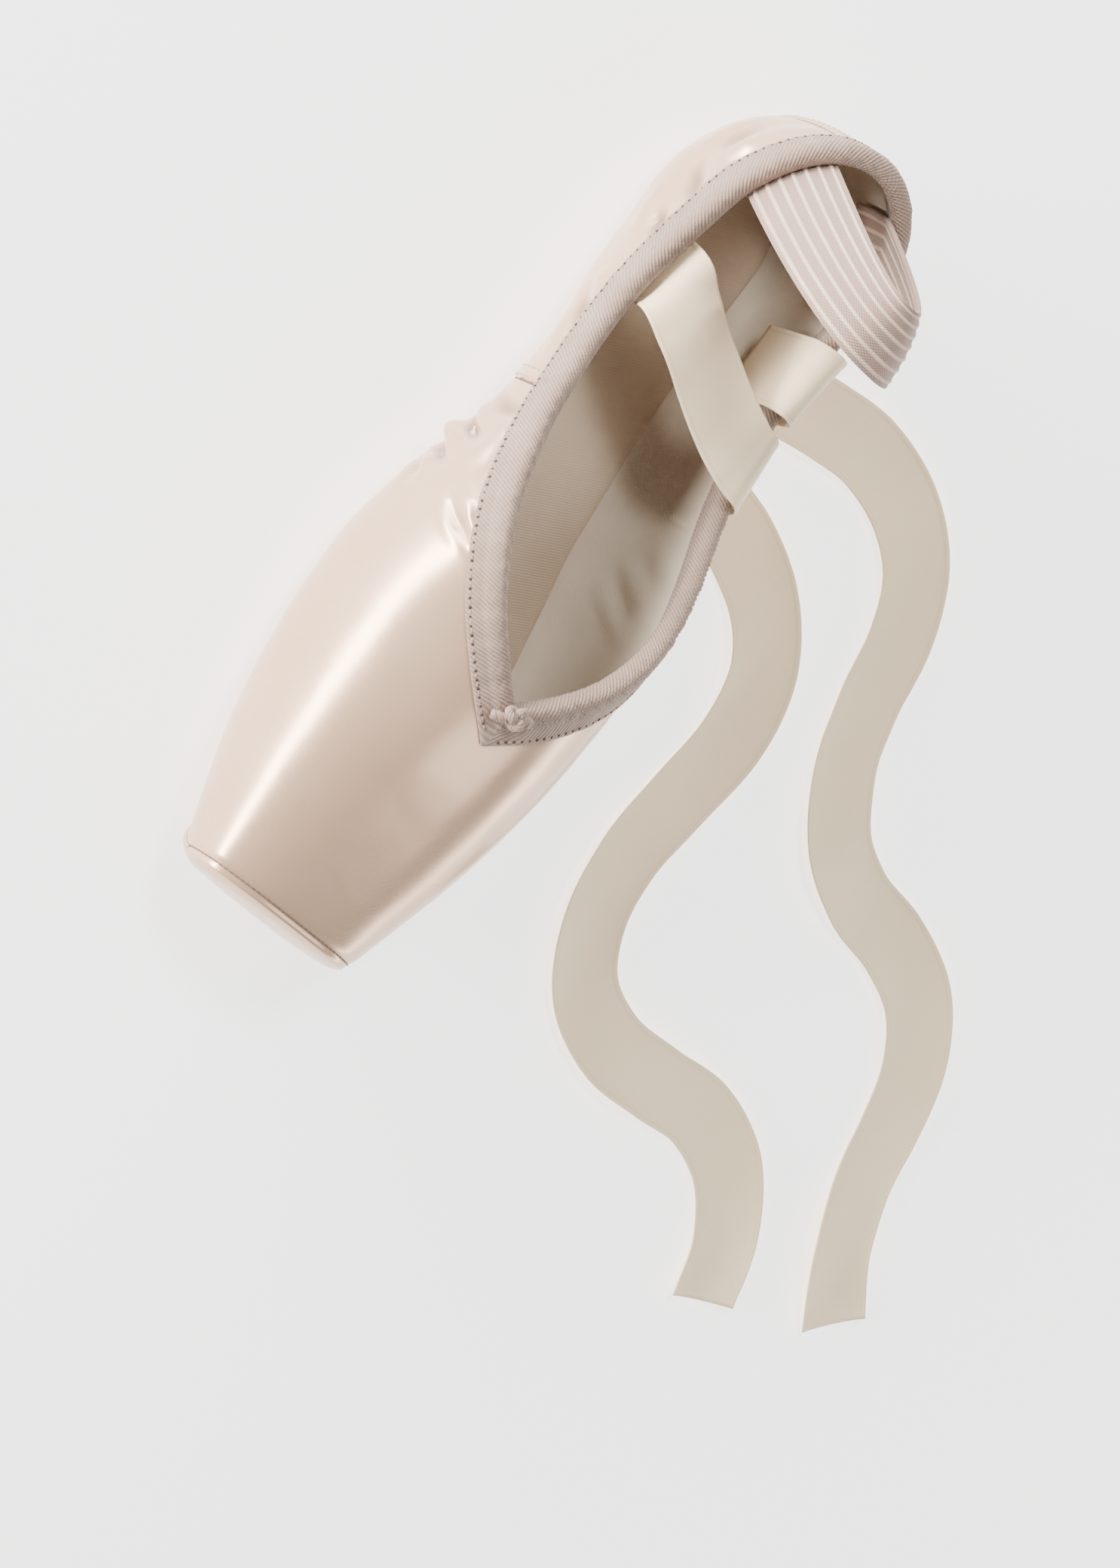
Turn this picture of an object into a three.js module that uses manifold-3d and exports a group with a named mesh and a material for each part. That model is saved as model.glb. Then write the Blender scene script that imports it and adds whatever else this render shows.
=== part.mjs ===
// A straight-lasted pointe shoe, standing empty and unbent on its sole.
// Millimetres. +X points to the toe, +Y to the shoe's left side, +Z up, and the floor is z = 0.
// Until the last lines x is measured from the back of the heel.
import * as THREE from "three";
import { mergeVertices } from "three/addons/utils/BufferGeometryUtils.js";
import Module from "manifold-3d";

const wasm = await Module();
wasm.setup();

// The last, which is the outside of the upper
const shoeLength = 252; // back of the heel to the platform
const ballWidth = 87;
const heelWidth = 58;
const heelRound = 37; // length of the rounded heel end
const instepHeight = 61; // crown of the vamp at the throat
const platformWidth = 54;
const platformHeight = 27;
const platformLift = 10; // lower edge of the platform above the floor
const platformEdge = 5; // rounding of the platform's rim
const platformDome = 0.8;

// The collar
const vampLength = 75; // platform to the throat
const throatZone = 40; // length behind the throat where the edge turns most
const sideHeight = 32; // collar at the arch
const heelHeight = 54; // collar at the back of the heel

// Walls, and the gap that separate pieces keep
const boxWall = 2.8; // glued toe box
const quarterWall = 1.8; // satin, canvas and lining
const seamGap = 0.3;
const tapeGap = 0.4; // under the collar tape

// The sole
const outsoleThickness = 2.6;
const outsoleChamfer = 0.6;
const outsoleBallWidth = 61;
const outsoleWaistWidth = 28;
const outsoleHeelWidth = 39;
const outsoleHeelInset = 13; // back of the heel to the outsole
const outsoleTipInset = 27; // platform to the outsole
const outsoleTipRound = 30; // length of the outsole's rounded front
const archRise = 5;
const lastingMargin = 8; // how far the upper turns in over the outsole
const insoleThickness = 2;
const insoleEdgeGap = 5; // insole to where the walls begin to rise
const insoleToeGap = 6; // insole to the inside of the platform
const insoleTipRound = 12;

// Trim
const bindingWidth = 8.5; // outside face of the collar tape
const bindingInside = 6;
const bindingThickness = 0.9;
const bindingRoll = 3.6; // height of the rolled edge that holds the drawstring
const bindingSwell = 0.5; // how much fatter the roll is than the tape
const overlayThickness = 0.7;
const heelStripWidth = 21;
const tipSeamSet = 2.5; // tip seam behind the platform
const tipPanelRear = 40; // width of the tip panel where it goes under the outsole
const knotRadius = 2;
const cordRadius = 0.85;
const knotTail = 4.5;

// The elastic over the ankle
const elasticWidth = 28;
const elasticThickness = 1.3;
const elasticHeelInset = 15; // along the collar, from the back seam to the elastic
const elasticTuck = 20; // length sewn down inside the quarter
const elasticRise = 58; // height of the loop over the collar
const elasticLean = 28; // degrees towards the toe
const elasticRuffle = 0.25; // how much its front edge rises over its back edge, as a share of the width
const elasticBow = 0.8; // how round the loop is

// The two ribbons
const ribbonWidth = 22;
const ribbonThickness = 0.8;

// Shape of the last from the platform to the heel. at is a share of the length. spread runs from the
// platform's or the heel's half width (0) to the ball's (1), crown from the platform's top (0) to the
// instep (1). sole is the flat of the underside as a share of the half width, widest the height of the
// widest line over it as a share of the instep, and square the roundness of the top.
const sections = [
  { at: 1.0, spread: 0.0, crown: 0.0, sole: 0.74, widest: 0.2, square: 2.5 },
  { at: 0.93, spread: 0.31, crown: 0.27, sole: 0.76, widest: 0.23, square: 2.4 },
  { at: 0.86, spread: 0.6, crown: 0.52, sole: 0.78, widest: 0.26, square: 2.3 },
  { at: 0.79, spread: 0.8, crown: 0.75, sole: 0.79, widest: 0.285, square: 2.2 },
  { at: 0.72, spread: 0.94, crown: 0.92, sole: 0.79, widest: 0.3, square: 2.1 },
  { at: 0.65, spread: 1.0, crown: 1.06, sole: 0.77, widest: 0.31, square: 2.0 },
  { at: 0.57, spread: 0.84, crown: 1.27, sole: 0.72, widest: 0.32, square: 2.0 },
  { at: 0.48, spread: 0.51, crown: 1.5, sole: 0.64, widest: 0.33, square: 2.0 },
  { at: 0.38, spread: 0.21, crown: 1.72, sole: 0.62, widest: 0.33, square: 2.0 },
  { at: 0.27, spread: 0.06, crown: 1.86, sole: 0.69, widest: 0.32, square: 2.0 },
  { at: 0.14, spread: 0.0, crown: 1.92, sole: 0.75, widest: 0.3, square: 2.0 },
  { at: 0.0, spread: 0.0, crown: 1.94, sole: 0.75, widest: 0.3, square: 2.0 },
];
const ballAt = 0.65;

// Half width of the outsole: the waist's, plus a share of what the ball and the heel add to it.
const soleRows = [
  { at: 1.0, toBall: 0.2, toHeel: 0 },
  { at: 0.89, toBall: 0.55, toHeel: 0 },
  { at: 0.83, toBall: 0.8, toHeel: 0 },
  { at: 0.77, toBall: 0.96, toHeel: 0 },
  { at: 0.71, toBall: 1.0, toHeel: 0 },
  { at: 0.65, toBall: 0.93, toHeel: 0 },
  { at: 0.57, toBall: 0.61, toHeel: 0 },
  { at: 0.49, toBall: 0.21, toHeel: 0 },
  { at: 0.42, toBall: 0.0, toHeel: 0 },
  { at: 0.36, toBall: 0.0, toHeel: 0.06 },
  { at: 0.28, toBall: 0.0, toHeel: 0.5 },
  { at: 0.2, toBall: 0.0, toHeel: 0.9 },
  { at: 0.14, toBall: 0.0, toHeel: 1.0 },
  { at: 0.0, toBall: 0.0, toHeel: 1.0 },
];

// The collar. at is a share of the way from the heel to the throat. back is the share of what the heel
// adds to the side height, and front how far the edge has then turned up over the instep, to the crown
// at 1.
const collarRows = [
  { at: 1.0, front: 1.0, back: 0 },
  { at: 0.95, front: 0.81, back: 0 },
  { at: 0.88, front: 0.6, back: 0 },
  { at: 0.79, front: 0.4, back: 0 },
  { at: 0.69, front: 0.24, back: 0 },
  { at: 0.58, front: 0.11, back: 0 },
  { at: 0.46, front: 0.03, back: 0.02 },
  { at: 0.35, front: 0.0, back: 0.14 },
  { at: 0.23, front: 0.0, back: 0.4 },
  { at: 0.11, front: 0.0, back: 0.74 },
  { at: 0.0, front: 0.0, back: 1.0 },
];

// The two ribbons, from where each is sewn in to its free end, as x, y and z. tilt is the slope of the
// collar that the ribbon's width follows.
const ribbons = [
  {
    name: "ribbon_right",
    tilt: 0.12,
    route: [
      [60, -23.6, 19],
      [60, -23.6, 32],
      [62, -21.5, 38.5],
      [67, -13, 41],
      [73, 0, 40.5],
      [79, 13, 41],
      [83, 24, 42],
      [84, 30.5, 41.6],
      [84.5, 34.4, 37],
      [85, 35, 28],
      [85.5, 35.6, 17],
      [86, 37.5, 8],
      [87, 42.5, 2.6],
      [88.5, 52, 0.8],
      [91, 66, 0.6],
      [99, 83, 0.6],
      [114, 96, 0.6],
      [134, 102, 0.6],
      [155, 100, 0.6],
      [176, 97, 0.6],
      [196, 100, 0.6],
      [212, 111, 0.6],
      [220, 129, 0.6],
      [220, 149, 0.6],
      [219, 169, 0.6],
      [226, 188, 0.6],
      [241, 201, 0.6],
      [260, 208, 0.6],
    ],
  },
  {
    name: "ribbon_left",
    tilt: -0.2,
    route: [
      [57, 23, 17],
      [57, 23, 33],
      [57, 24.2, 39.5],
      [57, 27.5, 42.6],
      [57, 31.6, 41.4],
      [57, 33.6, 36],
      [57, 34, 27],
      [56.5, 34.8, 16],
      [56, 37, 8],
      [55, 42, 2.6],
      [53, 51, 0.8],
      [50, 66, 0.6],
      [48, 84, 0.6],
      [52, 103, 0.6],
      [63, 119, 0.6],
      [80, 129, 0.6],
      [100, 134, 0.6],
      [119, 140, 0.6],
      [135, 152, 0.6],
      [143, 170, 0.6],
      [146, 190, 0.6],
      [154, 209, 0.6],
      [169, 222, 0.6],
      [188, 229, 0.6],
      [208, 233, 0.6],
      [227, 241, 0.6],
      [242, 254, 0.6],
    ],
  },
];

const colours = {
  satin: 0xe2d3c4,
  twill: 0xd9c6b8,
  ribbon: 0xe3d6c0,
  elastic: 0xdcc9bb,
  leather: 0x7d6450,
  board: 0xc9b79c,
};

const lerp = (a, b, t) => a + (b - a) * t;
const clamp = (t, low = 0, high = 1) => Math.min(high, Math.max(low, t));
const steps = (count, from, to) =>
  Array.from({ length: count + 1 }, (_, k) => lerp(from, to, k / count));

// A smooth curve through [at, value] pairs that doesn't overshoot them.
function smoothCurve(pairs) {
  const rows = [...pairs].sort((a, b) => a[0] - b[0]);
  const end = rows.length - 1;
  const rise = (k) => (rows[k + 1][1] - rows[k][1]) / (rows[k + 1][0] - rows[k][0]);
  const slopes = rows.map((_, k) => {
    if (k === 0 || k === end) return 0;
    const before = rise(k - 1);
    const after = rise(k);
    return before * after <= 0 ? 0 : (2 * before * after) / (before + after);
  });
  slopes[0] = 1.5 * rise(0) - 0.5 * slopes[1];
  slopes[end] = 1.5 * rise(end - 1) - 0.5 * slopes[end - 1];
  return (at) => {
    const x = clamp(at, rows[0][0], rows[end][0]);
    const k = clamp(rows.findIndex((row) => row[0] >= x) - 1, 0, end - 1);
    const h = rows[k + 1][0] - rows[k][0];
    const t = (x - rows[k][0]) / h;
    const u = 1 - t;
    return (
      rows[k][1] * u * u * (1 + 2 * t) +
      rows[k + 1][1] * t * t * (3 - 2 * t) +
      h * t * u * (slopes[k] * u - slopes[k + 1] * t)
    );
  };
}

const column = (name) => smoothCurve(sections.map((row) => [row.at * shoeLength, row[name]]));
const soleShareAt = column("sole");
const widestAt = column("widest");
const squareAt = column("square");
const halfWidthAt = smoothCurve(
  sections.map((row) => [
    row.at * shoeLength,
    lerp(row.at > ballAt ? platformWidth / 2 : heelWidth / 2, ballWidth / 2, row.spread),
  ]),
);
const crownAt = smoothCurve(
  sections.map((row) => [
    row.at * shoeLength,
    lerp(platformLift + platformHeight, instepHeight, row.crown),
  ]),
);
const outsoleBody = smoothCurve(
  soleRows.map((row) => [
    row.at * shoeLength,
    outsoleWaistWidth / 2 +
      (row.toBall * (outsoleBallWidth - outsoleWaistWidth)) / 2 +
      (row.toHeel * (outsoleHeelWidth - outsoleWaistWidth)) / 2,
  ]),
);

// The sole's lower face from the side: flat at heel and ball, arched between them, rising to the toe.
const archStart = 0.2 * shoeLength;
const archEnd = 0.61 * shoeLength;
const springStart = 0.74 * shoeLength;
const springRise = platformLift - outsoleThickness - seamGap;
function soleLine(x) {
  const arch = clamp((x - archStart) / (archEnd - archStart));
  const spring = clamp((x - springStart) / (shoeLength - springStart));
  return archRise * Math.sin(Math.PI * arch) ** 2 + springRise * spring ** 2;
}
const undersideAt = (x) => soleLine(x) + outsoleThickness + seamGap;

const throatX = shoeLength - vampLength;
const collarHeight = smoothCurve(
  collarRows.map((row) => [row.at * throatX, lerp(sideHeight, heelHeight, row.back)]),
);
const collarTurn = smoothCurve(collarRows.map((row) => [row.at * throatX, row.front]));
const wallAt = (x) =>
  lerp(quarterWall, boxWall, clamp((x - 0.5 * shoeLength) / (0.25 * shoeLength)));

// Reach of an ellipse from its centre, at an angle from the toe.
const reach = (angle, alongX, alongY) =>
  1 / Math.hypot(Math.cos(angle) / alongX, Math.sin(angle) / alongY);
const fanAngle = (u) => (Math.PI / 2) * (2 - u / heelRound);

// A station is a half plane through the last. In front of heelRound it stands across the shoe at x = u, behind it
// they fan out around the heel, to the back seam at u = 0. Past the platform's rim they shrink to its middle.
function station(u) {
  if (u < heelRound) {
    const angle = fanAngle(u);
    const half = reach(angle, heelRound, halfWidthAt(heelRound));
    const x = heelRound + half * Math.cos(angle);
    const bed = reach(angle, heelRound - outsoleHeelInset, outsoleBody(heelRound));
    return {
      x,
      half,
      flat: half * soleShareAt(x),
      bottom: undersideAt(0),
      top: crownAt(x),
      widest: undersideAt(0) + widestAt(x) * instepHeight,
      opening: Math.max(bed - lastingMargin, 1),
      point: (r, z) => [heelRound + r * Math.cos(angle), -r * Math.sin(angle), z],
    };
  }
  const rim = clamp((u - shoeLength + platformEdge) / platformEdge);
  const inset = platformEdge * (1 - Math.sqrt(1 - rim * rim));
  const cap = clamp((u - shoeLength) / platformEdge);
  const x = Math.min(u, shoeLength);
  const middle = platformLift + platformHeight / 2;
  const front = x + platformDome * (1 - (1 - cap) ** 2);
  return {
    x,
    half: halfWidthAt(x) - inset,
    flat: halfWidthAt(x) * soleShareAt(x) - inset,
    bottom: undersideAt(x) + inset,
    top: crownAt(x) - inset,
    widest: undersideAt(x) + widestAt(x) * instepHeight,
    opening: Math.max(outsoleHalf(x) - lastingMargin, 0),
    point: (r, z) => [front, -r * (1 - cap), lerp(z, middle, cap)],
  };
}
function outsoleHalf(x) {
  const tip = (x - (shoeLength - outsoleTipInset - outsoleTipRound)) / outsoleTipRound;
  if (tip >= 1) return 0;
  return outsoleBody(x) * (tip > 0 ? Math.sqrt(1 - tip * tip) : 1);
}

// Half a station's outline, from the middle of the underside to the crown, with the length up to each point.
const cornerSteps = 16;
const overSteps = 48;
function outline(at) {
  const power = 2 / squareAt(at.x);
  const points = [[0, at.bottom]];
  for (const a of steps(cornerSteps, 0, Math.PI / 2)) {
    points.push([
      at.flat + (at.half - at.flat) * Math.sin(a),
      at.bottom + (at.widest - at.bottom) * (1 - Math.cos(a)),
    ]);
  }
  for (const a of steps(overSteps, 0, Math.PI / 2).slice(1)) {
    points.push([
      a > Math.PI / 2 - 1e-6 ? 0 : at.half * Math.cos(a) ** power,
      at.widest + (at.top - at.widest) * Math.sin(a) ** power,
    ]);
  }
  const lengths = [0];
  points.slice(1).forEach((p, k) => {
    lengths.push(lengths[k] + Math.hypot(p[0] - points[k][0], p[1] - points[k][1]));
  });
  return { points, lengths, total: lengths[lengths.length - 1], power };
}

// A point of the last's right half: u picks the station, share how far around its outline.
function lastPoint(u, share) {
  const at = station(u);
  const { points, lengths, total } = outline(at);
  const s = clamp(share) * total;
  const k = clamp(lengths.findIndex((length) => length >= s - 1e-9), 1, lengths.length - 1);
  const t = (s - lengths[k - 1]) / Math.max(lengths[k] - lengths[k - 1], 1e-9);
  const [a, b] = [points[k - 1], points[k]];
  return new THREE.Vector3(...at.point(lerp(a[0], b[0], t), lerp(a[1], b[1], t)));
}
const farEnd = shoeLength + platformEdge;
function lastNormal(u, share) {
  if (u > farEnd - 0.01) return new THREE.Vector3(1, 0, 0);
  const along = lastPoint(u + 0.4, share).sub(lastPoint(u - 0.4, share));
  const around = lastPoint(u, share + 0.012).sub(lastPoint(u, share - 0.012));
  const normal = along.cross(around).normalize();
  return Math.abs(lastPoint(u, share).y) < 1e-6 ? normal.setY(0).normalize() : normal;
}

const openingShare = (u) => station(u).opening / outline(station(u)).total;
function collarShare(u) {
  const at = station(u);
  if (u >= throatX) return 1;
  const { lengths, total, power } = outline(at);
  const height = clamp((collarHeight(at.x) - at.widest) / (at.top - at.widest));
  const angle = lerp(Math.asin(height ** (1 / power)) / (Math.PI / 2), 1, collarTurn(at.x));
  const k = clamp(angle * overSteps, 0, overSteps - 1e-6);
  const first = cornerSteps + 1 + Math.floor(k);
  return lerp(lengths[first], lengths[first + 1], k % 1) / total;
}

// The station and share of the last that lie nearest to a point on the right half.
function locate(point) {
  const behind = point.x < heelRound;
  const angle = Math.atan2(-point.y, point.x - heelRound);
  const u = behind ? heelRound * (2 - angle / (Math.PI / 2)) : point.x;
  const r = behind ? Math.hypot(point.x - heelRound, point.y) : -point.y;
  const { points, lengths, total } = outline(station(u));
  let best = { miss: Infinity, share: 0 };
  points.slice(1).forEach((b, k) => {
    const a = points[k];
    const [dr, dz] = [b[0] - a[0], b[1] - a[1]];
    const t = clamp(((r - a[0]) * dr + (point.z - a[1]) * dz) / Math.max(dr * dr + dz * dz, 1e-9));
    const miss = Math.hypot(r - a[0] - t * dr, point.z - a[1] - t * dz);
    if (miss < best.miss) best = { miss, share: lerp(lengths[k], lengths[k + 1], t) / total };
  });
  return { u, share: best.share };
}

// Solids from triangles, with their faces turned outwards, and back to geometry.
function toSolid(triangles) {
  const merged = mergeVertices(
    new THREE.BufferGeometry().setAttribute(
      "position",
      new THREE.Float32BufferAttribute(triangles.flat(2), 3),
    ),
    1e-4,
  );
  const index = [...merged.index.array];
  const corner = (k) => new THREE.Vector3().fromBufferAttribute(merged.attributes.position, k);
  let volume = 0;
  let triVerts = [];
  for (let k = 0; k < index.length; k += 3) {
    const [a, b, c] = index.slice(k, k + 3);
    if (a === b || b === c || c === a) continue;
    triVerts.push(a, b, c);
    volume += corner(a).dot(corner(b).cross(corner(c)));
  }
  if (volume < 0) triVerts = triVerts.reverse();
  return new wasm.Manifold(
    new wasm.Mesh({
      numProp: 3,
      vertProperties: new Float32Array(merged.attributes.position.array),
      triVerts: new Uint32Array(triVerts),
    }),
  );
}
function fromGeometry(geometry) {
  const plain = geometry.toNonIndexed().attributes.position.array;
  const triangles = [];
  for (let k = 0; k < plain.length; k += 9) {
    triangles.push([0, 3, 6].map((m) => [...plain.slice(k + m, k + m + 3)]));
  }
  return toSolid(triangles);
}
function toGeometry(solid) {
  const mesh = solid.getMesh();
  const positions = [];
  for (let k = 0; k < mesh.numVert; k += 1) {
    positions.push(...mesh.vertProperties.slice(k * mesh.numProp, k * mesh.numProp + 3));
  }
  return new THREE.BufferGeometry()
    .setAttribute("position", new THREE.Float32BufferAttribute(positions, 3))
    .setIndex([...mesh.triVerts]);
}

const quad = (a, b, c, d) => [
  [a, b, c],
  [a, c, d],
];
const onMiddle = (p) => Math.abs(p[1]) < 1e-6;

// A wall between two grids of points with the same rows, closed along their edges. Edges that meet their mirror
// image on the middle line stay open, because the two halves join there.
function wallBetween(outer, inner) {
  const triangles = [];
  const lastRow = outer.length - 1;
  const lastColumn = outer[0].length - 1;
  for (let i = 0; i < lastRow; i += 1) {
    for (let j = 0; j < lastColumn; j += 1) {
      triangles.push(...quad(outer[i][j], outer[i + 1][j], outer[i + 1][j + 1], outer[i][j + 1]));
      triangles.push(...quad(inner[i][j], inner[i][j + 1], inner[i + 1][j + 1], inner[i + 1][j]));
    }
    for (const j of [0, lastColumn]) {
      if (onMiddle(outer[i][j]) && onMiddle(outer[i + 1][j])) continue;
      const rim = quad(outer[i][j], inner[i][j], inner[i + 1][j], outer[i + 1][j]);
      triangles.push(...(j === 0 ? rim : rim.map((t) => [...t].reverse())));
    }
  }
  for (let j = 0; j < lastColumn; j += 1) {
    triangles.push(...quad(outer[0][j], outer[0][j + 1], inner[0][j + 1], inner[0][j]));
    triangles.push(
      ...quad(outer[lastRow][j + 1], outer[lastRow][j], inner[lastRow][j], inner[lastRow][j + 1]),
    );
  }
  return toSolid(triangles);
}

// Rings of points joined to a closed loop or, with flat ends, to a bar.
function loft(rings, closed) {
  const triangles = [];
  const count = rings[0].length;
  const spans = closed ? rings.length : rings.length - 1;
  for (let i = 0; i < spans; i += 1) {
    const next = rings[(i + 1) % rings.length];
    for (let j = 0; j < count; j += 1) {
      const k = (j + 1) % count;
      triangles.push(...quad(rings[i][j], next[j], next[k], rings[i][k]));
    }
  }
  if (!closed) {
    const [first, last] = [rings[0], rings[rings.length - 1]];
    for (let j = 1; j < count - 1; j += 1) {
      triangles.push([first[0], first[j], first[j + 1]]);
      triangles.push([last[0], last[j + 1], last[j]]);
    }
  }
  return toSolid(triangles);
}

const mirrored = (p) => [p[0], -p[1], p[2]];
const moved = (point, normal, distance) => point.clone().addScaledVector(normal, distance).toArray();

// Stations from the middle of the platform to the back of the heel, and then along the left side.
const stations = [
  ...steps(2, farEnd, shoeLength),
  ...steps(3, shoeLength, shoeLength - platformEdge).slice(1),
  ...steps(9, shoeLength - platformEdge, throatX).slice(1),
  ...steps(9, throatX, throatX - throatZone).slice(1),
  ...steps(9, throatX - throatZone, heelRound).slice(1),
  ...steps(6, heelRound, 0).slice(1),
];
function bothSides(half) {
  return [...half, ...half.slice(0, -1).reverse().map((row) => row.map(mirrored))];
}

// The shares of a station's outline that the upper covers, from the opening under the foot up to the collar
const upperShares = (u) => steps(17, openingShare(u), collarShare(u));

// The last's surface at the given shares of each station, moved out by offset(u)
function skin(sharesAt, offset) {
  return bothSides(
    stations.map((u) =>
      sharesAt(u).map((share) => moved(lastPoint(u, share), lastNormal(u, share), offset(u))),
    ),
  );
}

// The upper: one wall, open at the collar and under the foot
const makeUpper = () =>
  wallBetween(
    skin(upperShares, () => 0),
    skin(upperShares, (u) => -wallAt(u)),
  );

// The whole last, grown by offset, which the overlays are cut from
function lastSolid(offset) {
  const grid = skin((u) => [0, ...upperShares(u), 1], () => offset);
  const triangles = [];
  for (let i = 0; i < grid.length - 1; i += 1) {
    for (let j = 0; j < grid[0].length - 1; j += 1) {
      triangles.push(...quad(grid[i][j], grid[i + 1][j], grid[i + 1][j + 1], grid[i][j + 1]));
    }
  }
  return toSolid(triangles);
}
const overlayShell = () =>
  lastSolid(seamGap + overlayThickness).subtract(lastSolid(seamGap));

// A flat piece with a curved outline: rows of [x, half width] from toe to heel, and its two faces as heights.
function slab(rows, lowAt, highAt, chamfer) {
  const ring = rows.map(([x, y], k) => {
    const before = rows[Math.max(k - 1, 0)];
    const after = rows[Math.min(k + 1, rows.length - 1)];
    const ends = k === 0 || k === rows.length - 1;
    const along = new THREE.Vector2(after[0] - before[0], ends ? 0 : after[1] - before[1]);
    const out = ends
      ? new THREE.Vector2(k === 0 ? 1 : -1, 0)
      : new THREE.Vector2(along.y, -along.x).normalize();
    const foot = [x - out.x * chamfer, Math.max(y - out.y * chamfer, 0)];
    return [
      [foot[0], foot[1], lowAt(x)],
      [x, y, lowAt(x) + chamfer],
      [x, y, highAt(x)],
    ];
  });
  return loft(ring.map((left) => [...left.map(mirrored).reverse(), ...left]), false);
}

function outsoleRows(grow) {
  const tipX = shoeLength - outsoleTipInset - outsoleTipRound;
  return [
    ...steps(9, 0, Math.PI / 2).map((a) => {
      const x = tipX + outsoleTipRound * Math.cos(a);
      return [tipX + (outsoleTipRound + grow) * Math.cos(a), (outsoleBody(x) + grow) * Math.sin(a)];
    }),
    ...steps(20, tipX, heelRound).slice(1).map((x) => [x, outsoleBody(x) + grow]),
    ...steps(8, Math.PI / 2, Math.PI).slice(1).map((a) => [
      heelRound + (heelRound - outsoleHeelInset + grow) * Math.cos(a),
      (outsoleBody(heelRound) + grow) * Math.sin(a),
    ]),
  ].map(([x, y]) => [x, y < 1e-6 ? 0 : y]);
}
const makeOutsole = () =>
  slab(outsoleRows(0), soleLine, (x) => soleLine(x) + outsoleThickness, outsoleChamfer);
const outsoleClearance = () => slab(outsoleRows(seamGap), () => -1, () => 2 * platformLift, 0);

function makeInsole() {
  const tipX = shoeLength - boxWall - insoleToeGap - insoleTipRound;
  const flatHalf = (x) => halfWidthAt(x) * soleShareAt(x) - insoleEdgeGap;
  const rows = [
    ...steps(6, 0, Math.PI / 2).map((a) => {
      const x = tipX + insoleTipRound * Math.cos(a);
      return [x, flatHalf(x) * Math.sin(a) ** 0.6];
    }),
    ...steps(16, tipX, heelRound).slice(1).map((x) => [x, flatHalf(x)]),
    ...steps(7, heelRound, 0).slice(1).map((u) => {
      const r = station(u).flat - insoleEdgeGap;
      return [heelRound + r * Math.cos(fanAngle(u)), r * Math.sin(fanAngle(u))];
    }),
  ].map(([x, y]) => [x, y < 1e-6 ? 0 : y]);
  const bed = (x) => undersideAt(x) + wallAt(x) + seamGap;
  return slab(rows, bed, (x) => bed(x) + insoleThickness, 0);
}

// Corners of the collar tape's section: how far down from the edge, and how far out from the upper's wall.
function bindingSection(wall) {
  const out = tapeGap + bindingThickness;
  const over = out + bindingSwell;
  const half = wall / 2;
  return [
    [bindingWidth, out],
    [bindingRoll, out],
    [bindingRoll / 2, over],
    [0, over],
    [-over + 0.4, out * 0.6],
    [-over, -half],
    [-over + 0.4, -wall - out * 0.6],
    [0, -wall - over],
    [bindingRoll, -wall - out],
    [bindingInside, -wall - out],
    [bindingInside, -wall - tapeGap],
    [-tapeGap, -wall - tapeGap],
    [-tapeGap, tapeGap],
    [bindingWidth / 2, tapeGap],
    [bindingWidth, tapeGap],
  ];
}

// The collar's edge on the right side, from the throat to the back seam, with the way down the wall.
function collarFrames() {
  const edge = stations.filter((u) => u <= throatX).map((u) => {
    const share = collarShare(u);
    return { u, point: lastPoint(u, share), normal: lastNormal(u, share) };
  });
  const flip = (p) => new THREE.Vector3(p.x, -p.y, p.z);
  return edge.map((row, k) => {
    const before = k > 0 ? edge[k - 1].point : flip(edge[1].point);
    const after = k < edge.length - 1 ? edge[k + 1].point : flip(edge[k - 1].point);
    const along = after.clone().sub(before).normalize();
    const down = row.normal.clone().cross(along).normalize();
    const side = row.normal.clone().cross(after.clone().sub(row.point)).normalize();
    return { ...row, down, mitre: k === 0 ? 1 / Math.max(down.dot(side), 0.5) : 1 };
  });
}
// Frames between two others, because the tape turns quickly around the point of the throat
function between(a, b, count) {
  return steps(count, 0, 1).slice(0, -1).map((t) => ({
    u: lerp(a.u, b.u, t),
    point: a.point.clone().lerp(b.point, t),
    normal: a.normal.clone().lerp(b.normal, t).normalize(),
    down: a.down.clone().multiplyScalar(a.mitre).lerp(b.down, t),
    mitre: 1,
  }));
}
function makeBinding() {
  const frames = collarFrames();
  const close = [
    ...between(frames[0], frames[1], 5),
    ...between(frames[1], frames[2], 2),
    ...frames.slice(2, -1).flatMap((frame, k) => between(frame, frames[k + 3], k > 7 ? 2 : 1)),
    ...frames.slice(-1),
  ];
  const rings = close.map(({ u, point, normal, down, mitre }) =>
    bindingSection(wallAt(u)).map(([drop, out]) => {
      const beside = point.clone().addScaledVector(down, drop * mitre);
      if (drop <= 0) return beside.addScaledVector(normal, out);
      const near = locate(beside.setY(Math.min(beside.y, 0)));
      return lastPoint(near.u, near.share).addScaledVector(lastNormal(near.u, near.share), out);
    }),
  );
  const right = rings.map((ring) => ring.map((p) => p.toArray()));
  const left = right.slice(1, -1).reverse().map((ring) => ring.map(mirrored));
  return loft([...right, ...left], true);
}

// A prism through rows of [x, half width], from one height to another
const prism = (rows, low, high) => slab(rows, () => low, () => high, 0);

function makeHeelStrip() {
  const half = heelStripWidth / 2;
  const beyond = -2 * overlayThickness - 1;
  const low = -1;
  const high = heelHeight - bindingWidth - seamGap - 0.4;
  const band = prism(
    [
      [heelRound, half],
      [beyond, half],
    ],
    low,
    high,
  );
  return overlayShell().intersect(band).subtract(outsoleClearance());
}

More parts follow.
